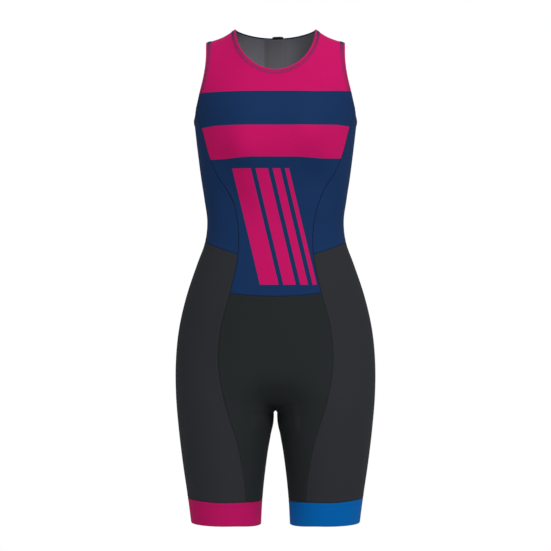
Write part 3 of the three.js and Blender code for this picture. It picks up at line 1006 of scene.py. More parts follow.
@dataclass(frozen=True)
class PadRelief:
    """Outline of the seat pad as it shows through the shorts."""

    proud: float = 2.3
    front_half: float = 41
    front_centre_z: float = -672
    front_rise: float = 46
    back_half: float = 56
    back_centre_z: float = -672
    back_rise: float = 84
    edge: tuple[float, float] = (0.9, 1.03)
    end_z: float = -712
    end_fade: float = 26

    def rise(self, at: Array) -> Array:
        """How far the pad pushes the cloth out.

        Args:
            at: points, one to a row.

        Returns:
            The lift of each.
        """
        x, y, z = at.T
        back = y > FORM.section(z)["middle"]
        half = np.where(back, self.back_half, self.front_half)
        centre = np.where(back, self.back_centre_z, self.front_centre_z)
        tall = np.where(back, self.back_rise, self.front_rise)
        reach = np.hypot(x / half, np.maximum(0, z - centre) / tall)
        inside = 1 - smoothstep(*self.edge, reach)
        low = smoothstep(self.end_z, self.end_z + self.end_fade, z)
        return self.proud * inside * low


def turn_outward(bm: BMesh) -> None:
    """Turns all faces of an open sheet to the outside of the form.

    Args:
        bm: the sheet.
    """
    bmesh.ops.recalc_face_normals(bm, faces=bm.faces[:])
    centres = np.array([f.calc_center_median() for f in bm.faces]) / MM
    normals = np.array([f.normal for f in bm.faces])
    if np.sum(normals * FORM.outward(centres)) < 0:
        bmesh.ops.reverse_faces(bm, faces=bm.faces[:])
    bm.normal_update()


def mirror_weld(bm: BMesh, weld: float) -> None:
    """Mirrors a sheet across the centre plane and joins it there.

    Args:
        bm: the sheet on the wearer's left.
        weld: points closer than this are joined, in metres.
    """
    half = bm.verts[:] + bm.edges[:] + bm.faces[:]
    bmesh.ops.mirror(bm, geom=half, merge_dist=MIRROR_MERGE, axis="X")
    bmesh.ops.remove_doubles(bm, verts=bm.verts[:], dist=weld)


def lay_cut(bm: BMesh, across: Array, down: Array) -> None:
    """Gives a sheet the UV map of its flat cut.

    Args:
        bm: the sheet, its points in their first order.
        across: each point's place across the cut, in metres.
        down: each point's place along the cut, in metres.
    """
    cut = bm.loops.layers.uv.new("cut")
    for face in bm.faces:
        for loop in face.loops:
            index = loop.vert.index
            loop[cut].uv = (across[index], down[index])


def place_points(bm: BMesh, points: Array | Sequence[Vector]) -> None:
    """Moves each point of a mesh to its place, in metres."""
    for vert, point in zip(bm.verts, points):
        vert.co = point


def cloth_mesh(bm: BMesh, name: str, materials: Sequence[Material]) -> Mesh:
    """Turns a finished bmesh into a mesh with its materials.

    Args:
        bm: the bmesh, which is freed.
        name: the mesh's name.
        materials: its finishes, in order.

    Returns:
        The mesh, far from any seam where the bmesh doesn't say otherwise.
    """
    mesh = bpy.data.meshes.new(name)
    bm.to_mesh(mesh)
    bm.free()
    for material in materials:
        mesh.materials.append(material)
    if "seam_mm" not in mesh.attributes:
        layer = mesh.attributes.new("seam_mm", "FLOAT", "POINT")
        far = np.full(len(mesh.vertices), FAR_FROM_SEAM, np.float32)
        layer.data.foreach_set("value", far)
    return mesh


def attach(mesh: Mesh, node: str | None = None) -> Object:
    """Puts a piece into the scene, where it rides on the suit.

    Args:
        mesh: the piece's mesh, whose name it takes.
        node: the CAD node that it stands for, if it stands for one.

    Returns:
        The piece.
    """
    piece = bpy.data.objects.new(mesh.name, mesh)
    bpy.context.scene.collection.objects.link(piece)
    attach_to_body(piece, SUIT_BODY)
    if node:
        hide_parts(node)
    LOG.info("%s: %d faces", piece.name, len(mesh.polygons))
    return piece


def thicken(bm: BMesh, inside: Array, material: int, crisp: bool = False) -> None:
    """Adds the inside of a cloth and its cut edges to its outside.

    Args:
        bm: the outside of the cloth, facing out.
        inside: the place of each of its points on the inside, in metres.
        material: material index of the inside.
        crisp: whether the cut edges are shaded as sharp ones.
    """
    outer = bm.verts[:]
    rim = [e for e in bm.edges if e.is_boundary]
    made = bmesh.ops.duplicate(bm, geom=outer + bm.edges[:] + bm.faces[:])
    twin = made["vert_map"]
    for vert, point in zip(outer, inside):
        twin[vert].co = point
    faces = [g for g in made["geom"] if isinstance(g, BMFace)]
    bmesh.ops.reverse_faces(bm, faces=faces)
    for face in faces:
        face.material_index = material
    for edge in rim:
        edge.smooth = made["edge_map"][edge].smooth = not crisp
        first, last = edge.verts
        if edge.link_loops[0].vert is not first:
            first, last = last, first
        bm.faces.new((last, first, twin[first], twin[last]))
    for face in bm.faces:
        face.smooth = True


@dataclass(frozen=True)
class Cut:
    """What shows of a panel's flat cut, in metres, and a slot name."""

    flat: tuple[float, float]
    area: float
    slot: str


@dataclass
class ClothPanel:
    """One cut-and-sewn panel as a thin shell with its seams and hems worked in."""

    node: str
    plan: PanelPlan
    side: int
    materials: tuple[Material, ...]
    cut: Cut
    wall: float = WALL
    seam_dip: float = 0.5
    seam_reach: float = 1.1
    swell: float = 0.25
    swell_away: float = 3.2
    swell_reach: float = 1.6
    hem_fold: float = 0.3
    hem_ramp: tuple[float, float] = (8.5, 9.7)
    edge_round: float = 0.5
    edge_reach: float = 1.2
    turned_edge: float = 2.2
    edge_stations: tuple[float, ...] = (0.05, 0.1, 0.155)
    edge_samples: int = 600
    frame_samples: int = 1200
    probe: float = 0.04
    weld: float = 5e-6
    relief: PadRelief | None = None
    creases: tuple[Crease, ...] = ()
    tree: BVHTree | None = None
    shell: Object | None = None
    outside_faces: int = 0

    def stations(self, cells: int, split: int, first: bool, last: bool) -> Array:
        """Even stations over the plan's cells, closer together beside its edges.

        Args:
            cells: whole columns or rows of the plan.
            split: stations in each cell.
            first: whether the first edge is an edge of the cloth.
            last: whether the last one is.

        Returns:
            The stations in rising order.
        """
        run = list(np.arange(cells * split + 1) / split)
        for near in self.edge_stations:
            if first:
                run.append(near)
            if last:
                run.append(cells - near)
        return np.array(sorted(run))

    def place(self, column: Array, row: Array) -> Array:
        """Points of the outer face at some columns and rows, in millimetres."""
        return FORM.point(*self.plan.sample(column, row))

    def lengths(self, points: Array) -> Array:
        """How far along a line each of its points is."""
        steps = np.linalg.norm(np.diff(points, axis=0), axis=-1)
        return np.concatenate(([0], np.cumsum(steps)))

    def edge_points(self, edge: Edge, spacing: float = 0.5) -> Array:
        """Evenly spaced points along one edge, on the wearer's left.

        Args:
            edge: the edge.
            spacing: distance between the points.

        Returns:
            The points.
        """
        rough = self.place(*edge.stations(self.edge_samples))
        run = self.lengths(rough)
        even = np.linspace(0, run[-1], max(2, int(run[-1] / spacing) + 1))
        return np.stack([np.interp(even, run, rough[:, k]) for k in range(3)], axis=-1)

    def edge_frames(
        self, edge: Edge, pitch: float, side: int
    ) -> list[tuple[Vector, Vector]]:
        """Even steps along an edge with the direction into the cloth at each.

        Args:
            edge: the edge to follow.
            pitch: distance between the steps.
            side: 1 for the wearer's left, -1 for the right.

        Returns:
            A point and an inward direction for each step, in metres.
        """
        column, row = edge.stations(self.frame_samples)
        run = self.lengths(self.place(column, row))
        even = np.linspace(0, run[-1], max(3, 2 * round(run[-1] / pitch / 2) + 1))
        column, row = np.interp(even, run, column), np.interp(even, run, row)
        at = self.place(column, row)
        probe = self.probe if edge.at == 0 else -self.probe
        if edge.along_row:
            inside = self.place(column, row + probe)
        else:
            inside = self.place(column + probe, row)
        along = np.gradient(at, axis=0)
        along /= np.linalg.norm(along, axis=-1, keepdims=True)
        inward = inside - at
        inward -= along * np.sum(inward * along, axis=-1, keepdims=True)
        inward /= np.linalg.norm(inward, axis=-1, keepdims=True)
        turn = np.array((side, 1, 1))
        return [(Vector(a), Vector(b)) for a, b in zip(at * turn * MM, inward * turn)]

    def distance_to(self, kinds: Sequence[EdgeKind], at: Array) -> Array:
        """Distance of each point to the nearest edge of some kinds.

        Args:
            kinds: kinds of edge.
            at: points, one to a row.

        Returns:
            The distances, none over FAR_FROM_SEAM.
        """
        found = [self.edge_points(e) for e in self.plan.edges if e.kind in kinds]
        if not found:
            return np.full(len(at), FAR_FROM_SEAM)
        points = np.concatenate(found)
        sides = (-1, 1) if self.plan.mirrored else (self.side,)
        points = np.concatenate([points * (side, 1, 1) for side in sides])
        tree = KDTree(len(points))
        for index, point in enumerate(points):
            tree.insert(point, index)
        tree.balance()
        near = np.array([tree.find(point)[2] for point in at])
        return np.minimum(FAR_FROM_SEAM, near)

    def grid(self) -> BMesh:
        """Lays the flat grid on the form, mirrored where the panel is one piece.

        Returns:
            The open sheet.
        """
        inner_edge = any(not e.along_row and e.at == 0 for e in self.plan.edges)
        columns = self.stations(
            self.plan.columns, self.plan.column_split, inner_edge, True
        )
        rows = self.stations(self.plan.rows, self.plan.row_split, True, True)
        bm = bmesh.new()
        layers = [bm.verts.layers.float.new(name) for name in ("angle", "level")]
        bmesh.ops.create_grid(
            bm, x_segments=len(columns) - 1, y_segments=len(rows) - 1, size=0.5
        )
        flat = np.array([v.co[:2] for v in bm.verts]) + 0.5
        column = columns[np.rint(flat[:, 0] * (len(columns) - 1)).astype(int)]
        row = rows[np.rint((1 - flat[:, 1]) * (len(rows) - 1)).astype(int)]
        angle, level = self.plan.sample(column, row)
        placed = FORM.point(angle, level) * (self.side, 1, 1) * MM
        place_points(bm, placed)
        for vert, turn, height in zip(bm.verts, angle, level):
            vert[layers[0]], vert[layers[1]] = turn, height
        wide, long = self.cut.flat
        across = wide / self.plan.columns / (2 if self.plan.mirrored else 1)
        lay_cut(bm, column * across, -row * long / self.plan.rows)
        if self.plan.mirrored:
            mirror_weld(bm, self.weld)
        else:
            bmesh.ops.remove_doubles(bm, verts=bm.verts[:], dist=self.weld)
        turn_outward(bm)
        return bm

    def work_surface(self, bm: BMesh) -> tuple[Array, Array, Array]:
        """Works seams, hems, relief and creases into the sheet.

        Args:
            bm: the sheet on the plain form.

        Returns:
            Each point's place on the inside of the cloth, in metres, and its distance
            to the nearest seam and to the nearest hem.
        """
        at = np.array([v.co for v in bm.verts]) / MM
        turn, height = (bm.verts.layers.float[name] for name in ("angle", "level"))
        angle = np.array([v[turn] for v in bm.verts])
        level = np.array([v[height] for v in bm.verts])
        normals = FORM.cloth_normal(angle, level)
        normals[:, 0] *= np.where(at[:, 0] < 0, -1, 1)
        seam = self.distance_to((EdgeKind.SEAM,), at)
        hem = self.distance_to((EdgeKind.HEM,), at)
        rim = self.distance_to((EdgeKind.HEM, EdgeKind.CUFF, EdgeKind.ZIP), at)
        body = np.zeros(len(at))
        if self.relief:
            body += self.relief.rise(at)
        for crease in self.creases:
            body += crease.rise(at)
        rise = body - self.seam_dip * bell(seam, self.seam_reach)
        rise += self.swell * bell(seam - self.swell_away, self.swell_reach)
        rise += self.hem_fold * (1 - smoothstep(*self.hem_ramp, hem))
        rise -= self.edge_round * np.maximum(0, 1 - rim / self.edge_reach) ** 2
        inside = at + normals * (body - self.wall)[:, None]
        place_points(bm, (at + normals * rise[:, None]) * MM)
        return inside * MM, seam, hem

    def build(self) -> Object:
        """Makes the panel's object, which rides on the suit.

        Returns:
            The object.
        """
        bm = self.grid()
        inside, seam, hem = self.work_surface(bm)
        bm.normal_update()
        self.tree = BVHTree.FromBMesh(bm)
        area = sum(f.calc_area() for f in bm.faces)
        self.outside_faces = len(bm.faces)
        distances = [bm.verts.layers.float.new(n) for n in ("seam_mm", "hem_mm")]
        for vert, near, fold in zip(bm.verts, seam, hem):
            vert[distances[0]], vert[distances[1]] = near, fold
        thicken(bm, inside, 1)
        for face in bm.faces:
            if max(vert[distances[1]] for vert in face.verts) < self.turned_edge:
                face.material_index = 0
        mesh = cloth_mesh(bm, f"{self.node}_cloth", self.materials)
        self.shell = attach(mesh, self.node)
        LOG.info("outer area %.4f m2, flat cut %s", area, self.cut.flat)
        return self.shell

    def declare(self, threads: Sequence[Object]) -> None:
        """Args:
            threads: the threads, not used.
        """


def linear(red: float, green: float, blue: float) -> tuple[float, float, float, float]:
    """Linear colour from screen values of 0 to 255.

    Args:
        red: its red.
        green: its green.
        blue: its blue.

    Returns:
        The linear colour, opaque.
    """
    parts = [c / 255 for c in (red, green, blue)]
    found = [c / 12.92 if c <= 0.04045 else ((c + 0.055) / 1.055) ** 2.4 for c in parts]
    return (*found, 1.0)


def constants(node: Node, values: dict[str, object]) -> None:
    """Sets constant values on a node's own input sockets."""
    for name, value in values.items():
        node.inputs[name].default_value = value


class Wiring:
    """Small helper to wire the nodes of one material or node group."""

    def __init__(self, tree: NodeTree) -> None:
        """Keeps the tree to wire."""
        self.tree = tree

    def node(self, kind: str, **values: object) -> Node:
        """Adds a node and sets its properties.

        Args:
            kind: its type.
            values: its properties.

        Returns:
            The node.
        """
        made = self.tree.nodes.new(kind)
        for name, value in values.items():
            setattr(made, name, value)
        return made

    def feed(self, socket: NodeSocket, source: object) -> None:
        """Links a source socket, or sets a plain value.

        Args:
            socket: the input.
            source: a socket or a value.
        """
        if isinstance(source, NodeSocket):
            self.tree.links.new(source, socket)
        else:
            socket.default_value = source

    def math(self, operation: str, *sources: object) -> object:
        """Adds a Math node over its sources.

        Args:
            operation: its operation.
            sources: its inputs, in order.

        Returns:
            The result's socket.
        """
        made = self.node("ShaderNodeMath", operation=operation)
        for index, source in enumerate(sources):
            self.feed(made.inputs[index], source)
        return made.outputs[0]

    def mix(self, share: object, low: object, high: object) -> object:
        """Adds a colour mix.

        Args:
            share: share of the second colour.
            low: the first.
            high: the second.

        Returns:
            The colour's socket.
        """
        made = self.node("ShaderNodeMix", data_type="RGBA")
        self.feed(made.inputs["Factor"], share)
        self.feed(made.inputs[6], low)
        self.feed(made.inputs[7], high)
        return made.outputs[2]

    def ramp(self, value: object, low: float, high: float) -> object:
        """Adds an eased 0 to 1 ramp of a value.

        Args:
            value: the value.
            low: where the ramp starts.
            high: where it ends.

        Returns:
            The result's socket.
        """
        made = self.node("ShaderNodeMapRange", interpolation_type="SMOOTHSTEP")
        self.feed(made.inputs["Value"], value)
        constants(made, {"From Min": low, "From Max": high})
        return made.outputs["Result"]

    def place(self) -> object:
        """Adds the Object coordinates."""
        return self.node("ShaderNodeTexCoord").outputs["Object"]

    def axes(self, vector: object) -> NodeOutputs:
        """Adds a split of a vector into X, Y and Z.

        Args:
            vector: the vector.

        Returns:
            The three sockets.
        """
        made = self.node("ShaderNodeSeparateXYZ")
        self.feed(made.inputs[0], vector)
        return made.outputs

    def noise(self, vector: object, scale: float, detail: float = 2.0) -> object:
        """Adds a noise in three dimensions.

        Args:
            vector: its coordinates.
            scale: its scale.
            detail: its detail.

        Returns:
            The value's socket.
        """
        made = self.node("ShaderNodeTexNoise", noise_dimensions="3D")
        self.feed(made.inputs["Vector"], vector)
        constants(made, {"Scale": scale, "Detail": detail})
        return made.outputs["Fac"]

    def group(self, tree: NodeTree, **sources: object) -> NodeOutputs:
        """Adds a shared group.

        Args:
            tree: the group.
            sources: a socket or a value for each input.

        Returns:
            Its outputs.
        """
        made = self.node("ShaderNodeGroup", node_tree=tree)
        for name, source in sources.items():
            self.feed(made.inputs[name], source)
        return made.outputs

    def bump(self, height: object, strength: float, depth: float) -> object:
        """Adds a bump.

        Args:
            height: the height's socket.
            strength: its strength.
            depth: its depth, in millimetres.

        Returns:
            The normal's socket.
        """
        made = self.node("ShaderNodeBump")
        constants(made, {"Strength": strength, "Distance": depth * MM})
        self.feed(made.inputs["Height"], height)
        return made.outputs["Normal"]


def new_material(name: str) -> tuple[Material, Node, Wiring]:
    """Starts a material.

    Args:
        name: its name.

    Returns:
        The material, its shader and the wiring of its nodes.
    """
    material = bpy.data.materials.new(name)
    material.use_nodes = True
    tree = material.node_tree
    return material, tree.nodes["Principled BSDF"], Wiring(tree)


@dataclass
class ShaderGroups:
    """Node groups that several finishes share."""

    courses_per_wale: float = 1.3
    wale_share: float = 0.6
    line_ramp: tuple[float, float] = (0.25, 0.9)
    pucker_ramp: tuple[float, float] = (2.0, 13.0)
    pucker_scale: float = 130
    pucker_detail: float = 1.5
    mottle_scale: float = 420
    mottle_detail: float = 3
    knit: NodeTree = field(init=False)
    sewing: NodeTree = field(init=False)
    mottle: NodeTree = field(init=False)

    def __post_init__(self) -> None:
        """Builds every group once."""
        self.knit = self.make_knit()
        self.sewing = self.make_sewing()
        self.mottle = self.make_mottle()

    def start(
        self,
        name: str,
        inputs: Sequence[tuple[str, str, float]],
        outputs: Sequence[str],
    ) -> tuple[Wiring, Node, Node]:
        """Starts a group with its sockets.

        Args:
            name: the group's name.
            inputs: name, socket kind and default of each input.
            outputs: names of the value outputs.

        Returns:
            The wiring helper, the group's input node and its output node.
        """
        tree = bpy.data.node_groups.new(name, "ShaderNodeTree")
        for label, kind, default in inputs:
            socket = tree.interface.new_socket(
                name=label, in_out="INPUT", socket_type=kind
            )
            if kind == "NodeSocketFloat":
                socket.default_value = default
        for label in outputs:
            kind = "NodeSocketColor" if label == "Color" else "NodeSocketFloat"
            tree.interface.new_socket(name=label, in_out="OUTPUT", socket_type=kind)
        wiring = Wiring(tree)
        return wiring, wiring.node("NodeGroupInput"), wiring.node("NodeGroupOutput")

    def make_knit(self) -> NodeTree:
        """Fine jersey loops: wales across and courses down the cut.

        Returns:
            The group.
        """
        w, given, out = self.start(
            "knit_loops",
            (("Vector", "NodeSocketVector", 0), ("Gauge", "NodeSocketFloat", 1100)),
            ("Height",),
        )
        parts = w.axes(given.outputs["Vector"])
        wale = w.math("MULTIPLY", parts["X"], given.outputs["Gauge"])
        wale = w.math("ABSOLUTE", w.math("SINE", w.math("MULTIPLY", wale, math.pi)))
        course = w.math("MULTIPLY", parts["Y"], given.outputs["Gauge"])
        course = w.math("MULTIPLY", course, self.courses_per_wale * math.pi)
        course = w.math("ABSOLUTE", w.math("SINE", w.math("ADD", course, wale)))
        wale = w.math("MULTIPLY", wale, self.wale_share)
        course = w.math("MULTIPLY", course, 1 - self.wale_share)
        w.feed(out.inputs["Height"], w.math("ADD", wale, course))
        return w.tree

    def make_sewing(self) -> NodeTree:
        """Dark line and pucker along the seams.

        Returns:
            The group.
        """
        w, given, out = self.start(
            "sewn_edges",
            (
                ("Seam", "NodeSocketFloat", FAR_FROM_SEAM),
                ("Vector", "NodeSocketVector", 0),
            ),
            ("Line", "Pucker"),
        )
        seam = given.outputs["Seam"]
        line = w.math("SUBTRACT", 1.0, w.ramp(seam, *self.line_ramp))
        near = w.math("SUBTRACT", 1.0, w.ramp(seam, *self.pucker_ramp))
        noise = w.noise(given.outputs["Vector"], self.pucker_scale, self.pucker_detail)
        w.feed(out.inputs["Line"], line)
        w.feed(out.inputs["Pucker"], w.math("MULTIPLY", noise, near))
        return w.tree

    def make_mottle(self) -> NodeTree:
        """Slight unevenness of a dyed or printed knit.

        Returns:
            The group.
        """
        w, given, out = self.start(
            "dye_mottle",
            (("Base", "NodeSocketColor", 0), ("Amount", "NodeSocketFloat", 0.1)),
            ("Color",),
        )
        noise = w.noise(w.place(), self.mottle_scale, self.mottle_detail)
        shift = w.math("SUBTRACT", noise, 0.5)
        shift = w.math("MULTIPLY", shift, given.outputs["Amount"])
        tint = w.node("ShaderNodeHueSaturation")
        w.feed(tint.inputs["Value"], w.math("ADD", 1.0, shift))
        w.feed(tint.inputs["Color"], given.outputs["Base"])
        w.feed(out.inputs["Color"], tint.outputs["Color"])
        return w.tree


@dataclass(frozen=True)
class KnitFinish:
    """A plain stretch knit."""

    name: str
    color: tuple[float, float, float]
    roughness: float = 0.8
    sheen: float = 0.015
    sheen_roughness: float = 0.4
    specular: float = 0.06
    gauge: float = 1100
    knit_height: float = 0.08
    pucker_height: float = 0.9
    relief_strength: float = 0.6
    relief_depth: float = 1.2
    mottle: float = 0.1
    seam_dark: float = 0.55
    seam_shade: tuple[float, float, float, float] = (0.002, 0.002, 0.003, 1.0)

    def base(self, w: Wiring) -> object:
        """The cloth's own colour, before seams and mottle."""
        return linear(*self.color)

    def build(self, groups: ShaderGroups) -> Material:
        """Makes the material.

        Args:
            groups: the shared node groups.

        Returns:
            The finished material.
        """
        material, shader, w = new_material(self.name)
        cut = w.node("ShaderNodeUVMap", uv_map="cut")
        seam = w.node("ShaderNodeAttribute", attribute_name="seam_mm")
        knit = w.group(groups.knit, Vector=cut.outputs["UV"], Gauge=self.gauge)
        sewing = w.group(groups.sewing, Seam=seam.outputs["Fac"], Vector=w.place())
        dyed = w.group(groups.mottle, Base=self.base(w), Amount=self.mottle)
        dark = w.math("MULTIPLY", sewing["Line"], self.seam_dark)
        color = w.mix(dark, dyed["Color"], self.seam_shade)
        w.feed(shader.inputs["Base Color"], color)
        constants(
            shader,
            {
                "Roughness": self.roughness,
                "Sheen Weight": self.sheen,
                "Sheen Roughness": self.sheen_roughness,
                "Specular IOR Level": self.specular,
            },
        )
        loops = w.math("MULTIPLY", knit["Height"], self.knit_height)
        pucker = w.math("MULTIPLY", sewing["Pucker"], self.pucker_height)
        height = w.math("ADD", loops, pucker)
        relief = w.bump(height, self.relief_strength, self.relief_depth)
        w.feed(shader.inputs["Normal"], relief)
        return material


@dataclass(frozen=True)
class PrintedKnitFinish(KnitFinish):
    """The printed front: yoke, plain bar, and slanting bars below it."""

    accent: tuple[float, float, float] = (198, 18, 99)
    yoke_z: float = -117.0
    bar_top_z: float = -175.7
    bar_low_z: float = -229.3
    bar_low_drop: float = 3.4
    bar_low_ramp: tuple[float, float] = (34.0, 96.0)
    bar_top_dip: float = 2.5
    bar_top_ramp: tuple[float, float] = (100.0, 135.0)
    left_lift: float = 2.8
    left_ramp: tuple[float, float] = (60.0, 130.0)
    slant_top_z: float = -249.0
    slant_low_z: float = -447.0
    slant_lean: float = 0.24
    slant_start_x: float = -74.0
    slant_widths: tuple[float, ...] = (32.0, 21.0, 13.0, 7.0)
    slant_space: float = 8.0

    def between(self, w: Wiring, value: object, low: float, high: float) -> object:
        """Mask of a value between two sizes.

        Args:
            w: the material's wiring.
            value: the value.
            low: lower size, in millimetres.
            high: upper size, in millimetres.

        Returns:
            The mask's socket.
        """
        above = w.math("GREATER_THAN", value, low * MM)
        below = w.math("LESS_THAN", value, high * MM)
        return w.math("MULTIPLY", above, below)

    def climb(
        self, w: Wiring, value: object, limits: tuple[float, float], height: float
    ) -> object:
        """Eased climb to a height between two limits, all in millimetres."""
        low, high = limits
        return w.math("MULTIPLY", w.ramp(value, low * MM, high * MM), height * MM)

    def base(self, w: Wiring) -> object:
        """Ground colour with the printed shapes on it.

        Args:
            w: the material's wiring.

        Returns:
            The colour's socket.
        """
        parts = w.axes(w.place())
        x, z = parts["X"], parts["Z"]
        flat = w.math("SUBTRACT", z, self.climb(w, x, self.left_ramp, self.left_lift))
        mask = w.math("GREATER_THAN", flat, self.yoke_z * MM)
        out = w.math("ABSOLUTE", x)
        drop = self.climb(w, out, self.bar_low_ramp, self.bar_low_drop)
        low = w.math("GREATER_THAN", w.math("ADD", flat, drop), self.bar_low_z * MM)
        dip = self.climb(w, out, self.bar_top_ramp, self.bar_top_dip)
        top = w.math("LESS_THAN", w.math("ADD", flat, dip), self.bar_top_z * MM)
        mask = w.math("MAXIMUM", mask, w.math("MULTIPLY", low, top))
        down = w.math("SUBTRACT", self.slant_top_z * MM, z)
        across = w.math("SUBTRACT", x, w.math("MULTIPLY", down, self.slant_lean))
        bars: object = 0.0
        start = self.slant_start_x
        for width in self.slant_widths:
            bar = self.between(w, across, start, start + width)
            bars = w.math("MAXIMUM", bars, bar)
            start += width + self.slant_space
        inside = self.between(w, z, self.slant_low_z, self.slant_top_z)
        mask = w.math("MAXIMUM", mask, w.math("MULTIPLY", bars, inside))
        return w.mix(mask, linear(*self.color), linear(*self.accent))


@dataclass(frozen=True)
class PlainFinish:
    """Thread, coil, moulded and metal parts."""

    name: str
    color: tuple[float, float, float]
    roughness: float
    metallic: float = 0.0
    grain: float = 900
    grain_height: float = 0.3
    grain_depth: float = 0.4
    rough_spread: float = 0.16
    mottle: float = 0.15

    def build(self, groups: ShaderGroups) -> Material:
        """Makes the material with a fine grain in its roughness and relief.

        Args:
            groups: the shared node groups.

        Returns:
            The material.
        """
        material, shader, w = new_material(self.name)
        dyed = w.group(groups.mottle, Base=linear(*self.color), Amount=self.mottle)
        w.feed(shader.inputs["Base Color"], dyed["Color"])
        grain = w.noise(w.place(), self.grain)
        least = self.roughness - self.rough_spread / 2
        rough = w.math("MULTIPLY_ADD", grain, self.rough_spread, least)
        w.feed(shader.inputs["Roughness"], rough)
        constants(shader, {"Metallic": self.metallic})
        relief = w.bump(grain, self.grain_height, self.grain_depth)
        w.feed(shader.inputs["Normal"], relief)
        return material


@dataclass
class Sewing:
    """Thread laid on the finished panels."""

    panels: Sequence[ClothPanel]
    cover_near: float = 3.4
    cover_far: float = 8.0
    armhole_wide: float = 1.4
    cover_pitch: float = 4.6
    cover_radius: float = 0.27
    cover_return: float = 0.55
    dash_weight: float = 1.6
    dash_reach: float = 0.4
    ladder_half: float = 1.0
    ladder_pitch: float = 2.4
    ladder_radius: float = 0.16
    crawl_step: float = 0.7
    lift: float = 0.05
    bedded: float = 0.45

    def everywhere(self) -> BVHTree:
        """One search tree over the outer faces of all panels.

        Returns:
            The tree.
        """
        points: list[Vector] = []
        faces: list[tuple[int, ...]] = []
        for panel in self.panels:
            mesh = panel.shell.data
            start = len(points)
            points.extend(v.co.copy() for v in mesh.vertices)
            outside = mesh.polygons[: panel.outside_faces]
            faces.extend(tuple(start + i for i in p.vertices) for p in outside)
        return BVHTree.FromPolygons(points, faces)

    def crawl(self, at: Vector, inward: Vector, reach: float, tree: BVHTree) -> Vector:
        """Goes a distance over the cloth from its edge.

        Args:
            at: where to start.
            inward: the direction to start in.
            reach: how far to go, in millimetres.
            tree: the cloth.

        Returns:
            The point reached.
        """
        count = max(1, round(reach / self.crawl_step))
        ahead = inward.copy()
        for _ in range(count):
            spot, normal = tree.find_nearest(at + ahead * reach / count * MM)[:2]
            ahead = (ahead - normal * ahead.dot(normal)).normalized()
            at = spot
        return at

    def settle(self, at: Vector, tree: BVHTree, radius: float) -> Vector:
        """A point laid on the cloth."""
        spot, normal = tree.find_nearest(at)[:2]
        return spot + normal * (self.bedded * radius + self.lift) * MM

    def tubes(
        self,
        name: str,
        runs: Sequence[Sequence[Vector]],
        radius: float,
        material: Material,
        weights: Sequence[float] = (),
    ) -> Object:
        """Thread of a radius along each run of points, as one mesh.

        Args:
            name: the piece's name.
            runs: the points of each thread, in metres.
            radius: the thread's radius, in millimetres.
            material: its finish.
            weights: share of the radius for each run, 1 where none is given.

        Returns:
            The thread's object.
        """
        curve = bpy.data.curves.new(name + "_path", "CURVE")
        curve.dimensions = "3D"
        curve.bevel_depth = radius * MM
        curve.bevel_resolution = 0
        curve.use_fill_caps = True
        for run, weight in zip(runs, weights or [1.0] * len(runs)):
            spline = curve.splines.new("POLY")
            spline.points.add(len(run) - 1)
            for point, at in zip(spline.points, run):
                point.co = (*at, 1)
                point.radius = weight
        path = bpy.data.objects.new(name + "_path", curve)
        bpy.context.scene.collection.objects.link(path)
        graph = bpy.context.evaluated_depsgraph_get()
        mesh = bpy.data.meshes.new_from_object(path.evaluated_get(graph))
        bpy.data.objects.remove(path)
        mesh.name = name
        mesh.materials.clear()
        mesh.materials.append(material)
        mesh.shade_smooth()
        return attach(mesh)

    def sides(self, panel: ClothPanel) -> tuple[int, ...]:
        """The sides of the body that a panel's plan is laid on."""
        return (1, -1) if panel.plan.mirrored else (panel.side,)

    def needle_row(
        self, panel: ClothPanel, steps: Sequence[tuple[Vector, Vector]], reach: float
    ) -> list[Vector]:
        """A row of needle holes beside a hem.

        Args:
            panel: the hemmed panel.
            steps: points on its edge, each with the direction into the cloth.
            reach: distance of the row from the edge, in millimetres.

        Returns:
            The row's points, on the cloth.
        """
        holes = [self.crawl(at, inward, reach, panel.tree) for at, inward in steps]
        return [self.settle(at, panel.tree, self.cover_radius) for at in holes]

    def coverstitch(self, material: Material) -> Object:
        """Two needle rows and their cover thread over the neck and armhole hems.

        Args:
            material: the thread's finish.

        Returns:
            The thread's object.
        """
        runs: list[list[Vector]] = []
        weights: list[float] = []
        for panel in self.panels:
            hems = [e for e in panel.plan.edges if e.kind is EdgeKind.HEM]
            for edge in hems:
                for side in self.sides(panel):
                    steps = panel.edge_frames(edge, self.cover_pitch / 2, side)
                    wide = 0 if edge.along_row else self.armhole_wide
                    rows = [
                        self.needle_row(panel, steps, reach)
                        for reach in (self.cover_near, self.cover_far + wide)
                    ]
                    for phase, weight in ((0, 1.0), (1, self.cover_return)):
                        nodes = [rows[(n + phase) % 2][n] for n in range(len(steps))]
                        run = nodes[:1]
                        for last, node in zip(nodes, nodes[1:]):
                            middle = last.lerp(node, 0.5)
                            run += [
                                self.settle(middle, panel.tree, self.cover_radius),
                                node,
                            ]
                        runs.append(run)
                        weights.append(weight)
                    for n in range(1, len(steps) - 1):
                        row = rows[n % 2]
                        above, below = (
                            row[n].lerp(row[n + k], self.dash_reach) for k in (-1, 1)
                        )
                        runs.append([above, row[n], below])
                        weights.append(self.dash_weight)
        return self.tubes(
            "hem_coverstitch", runs, self.cover_radius, material, weights
        )

